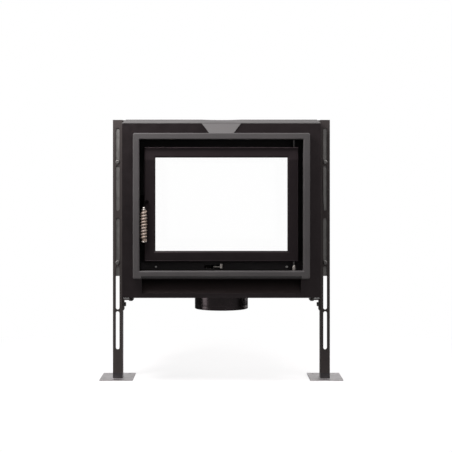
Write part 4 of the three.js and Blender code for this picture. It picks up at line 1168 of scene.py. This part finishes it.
def make_screws():
    for side, sign in SIDES:
        low, high, _ = span("casing_" + side)
        face = max(abs(low.x), abs(high.x))
        shell = Shell()
        for row in range(SCREW_ROWS):
            z = low.z + SCREW_END + (high.z - low.z - 2 * SCREW_END) * row / (SCREW_ROWS - 1)
            for y in (low.y + SCREW_INSET, high.y - SCREW_INSET):
                button_screw(shell, (0, y, z), face, sign)
        loose_piece("casing_screws_" + side, shell, "dark_steel")


# Small angle plates that fill the notch between the hood's ends and the legs' tops
SPACER_GAP = 0.3 * MM
SPACER_SHEET = 2 * MM
SPACER_FIT = 0.1 * MM
SPACER_HIGH = 14 * MM
SPACER_FOOT = 20 * MM
SPACER_SET_BACK = 12 * MM
SPACER_SCREW_SHARE = 0.6
SPACER_ROUNDING = 0.3 * MM


def make_spacers():
    hood_high = span("top_hood")[1]
    for side, sign in SIDES:
        low, high, _ = span("casing_" + side)
        leg_low, leg_high, _ = span("leg_" + side)
        face = max(abs(low.x), abs(high.x))
        leg_edge = min(abs(leg_low.x), abs(leg_high.x)) - SPACER_GAP
        hood_end = hood_high.x + SPACER_GAP
        front = leg_low.y + SPACER_SET_BACK
        top, foot_top = hood_high.z - SPACER_GAP, high.z - SPACER_GAP
        foot_low, foot_middle = foot_top - SPACER_HIGH, foot_top - SPACER_HIGH / 2
        shell = Shell()
        outline = [(face, foot_low), (leg_edge, foot_middle), (leg_edge, top),
                   (hood_end, top), (hood_end, foot_top), (face, foot_top)]
        shell.add_rings([[Vector((sign * x, front + y, z)) for x, z in outline] for y in (0, SPACER_SHEET)])
        x_low, x_high = sorted((sign * (face + SPACER_FIT), sign * (face + SPACER_SHEET)))
        shell.brick((x_low, front + SPACER_FIT, foot_low + SPACER_FIT),
                    (x_high, front + SPACER_FOOT, foot_top - SPACER_FIT))
        screw_y = front + SPACER_SCREW_SHARE * SPACER_FOOT
        button_screw(shell, (0, screw_y, foot_middle), face + SPACER_SHEET, sign)
        loose_piece("top_spacer_" + side, shell, "leg_black", SPACER_ROUNDING)


# Rope seals: heights of the ropes, their corner radius, the length of a stitch and how far the ridges stand
ROPE_HEIGHTS = {"door_seal": 6.4 * MM, "rear_glass_seal": 7.4 * MM}
ROPE_TURN = 6 * MM
ROPE_STEP = 1.6 * MM
ROPE_SIDES = 16
ROPE_STRANDS = 4
ROPE_LAY = 1.1
ROPE_RIDGE = 0.05
ROPE_SHARP = radians(75)


def make_rope(node, height):
    """A knitted rope laid round a rectangle, with its stitches as ridges."""
    low, high, middle = span(node)
    depth = Vector((0, 1, 0))
    thick = high.y - low.y
    half_x = (high.x - low.x) / 2 - height / 2
    half_z = (high.z - low.z) / 2 - height / 2
    path = rim_ring(half_x, middle.z - half_z, middle.z + half_z, ROPE_TURN, middle.y)
    dense = []
    for a, b in zip(path, path[1:] + path[:1]):
        count = max(1, int((b - a).length / ROPE_STEP))
        dense += [a.lerp(b, k / count) for k in range(count)]
    rings = []
    for i, point in enumerate(dense):
        tangent = (dense[(i + 1) % len(dense)] - dense[i - 1]).normalized()
        inward = depth.cross(tangent).normalized()
        ring = []
        for t in around(ROPE_SIDES):
            one, two = (1 + sin(ROPE_STRANDS * t + lay * i) for lay in (ROPE_LAY, -ROPE_LAY))
            ridge = 1 - ROPE_RIDGE * one * two / 2
            ring.append(point + inward * height / 2 * cos(t) * ridge
                        + depth * thick / 2 * sin(t) * ridge)
        rings.append(ring)
    shell = Shell()
    shell.add_rings(rings, closed=True)
    piece("knitted_" + node, shell, node, sharp=ROPE_SHARP)


bpy.context.scene.view_settings.view_transform = "Standard"
make_camera()
for lamp in LAMPS:
    area_light(*lamp)
make_world()
make_floor()
make_frame("front_frame", 1)
make_frame("rear_frame", -1)
make_door()
make_handle()
make_air_lever()
make_hinge_pins()
make_spigot()
make_flue_collar()
for side, _ in SIDES:
    for level in ("upper", "lower"):
        make_clamp_bolt(f"clamp_bolt_{side}_{level}")
        make_level_bolt(f"side_bolt_{side}_{level}", bush=True)
    make_hang_bolt(f"bracket_bolt_{side}")
    make_level_bolt(f"cross_bolt_{side}")
    make_recess_screw(f"recess_screw_{side}")
make_screws()
make_spacers()
for node, height in ROPE_HEIGHTS.items():
    make_rope(node, height)
for node in node_slot:
    if node not in replaced:
        dress(node)
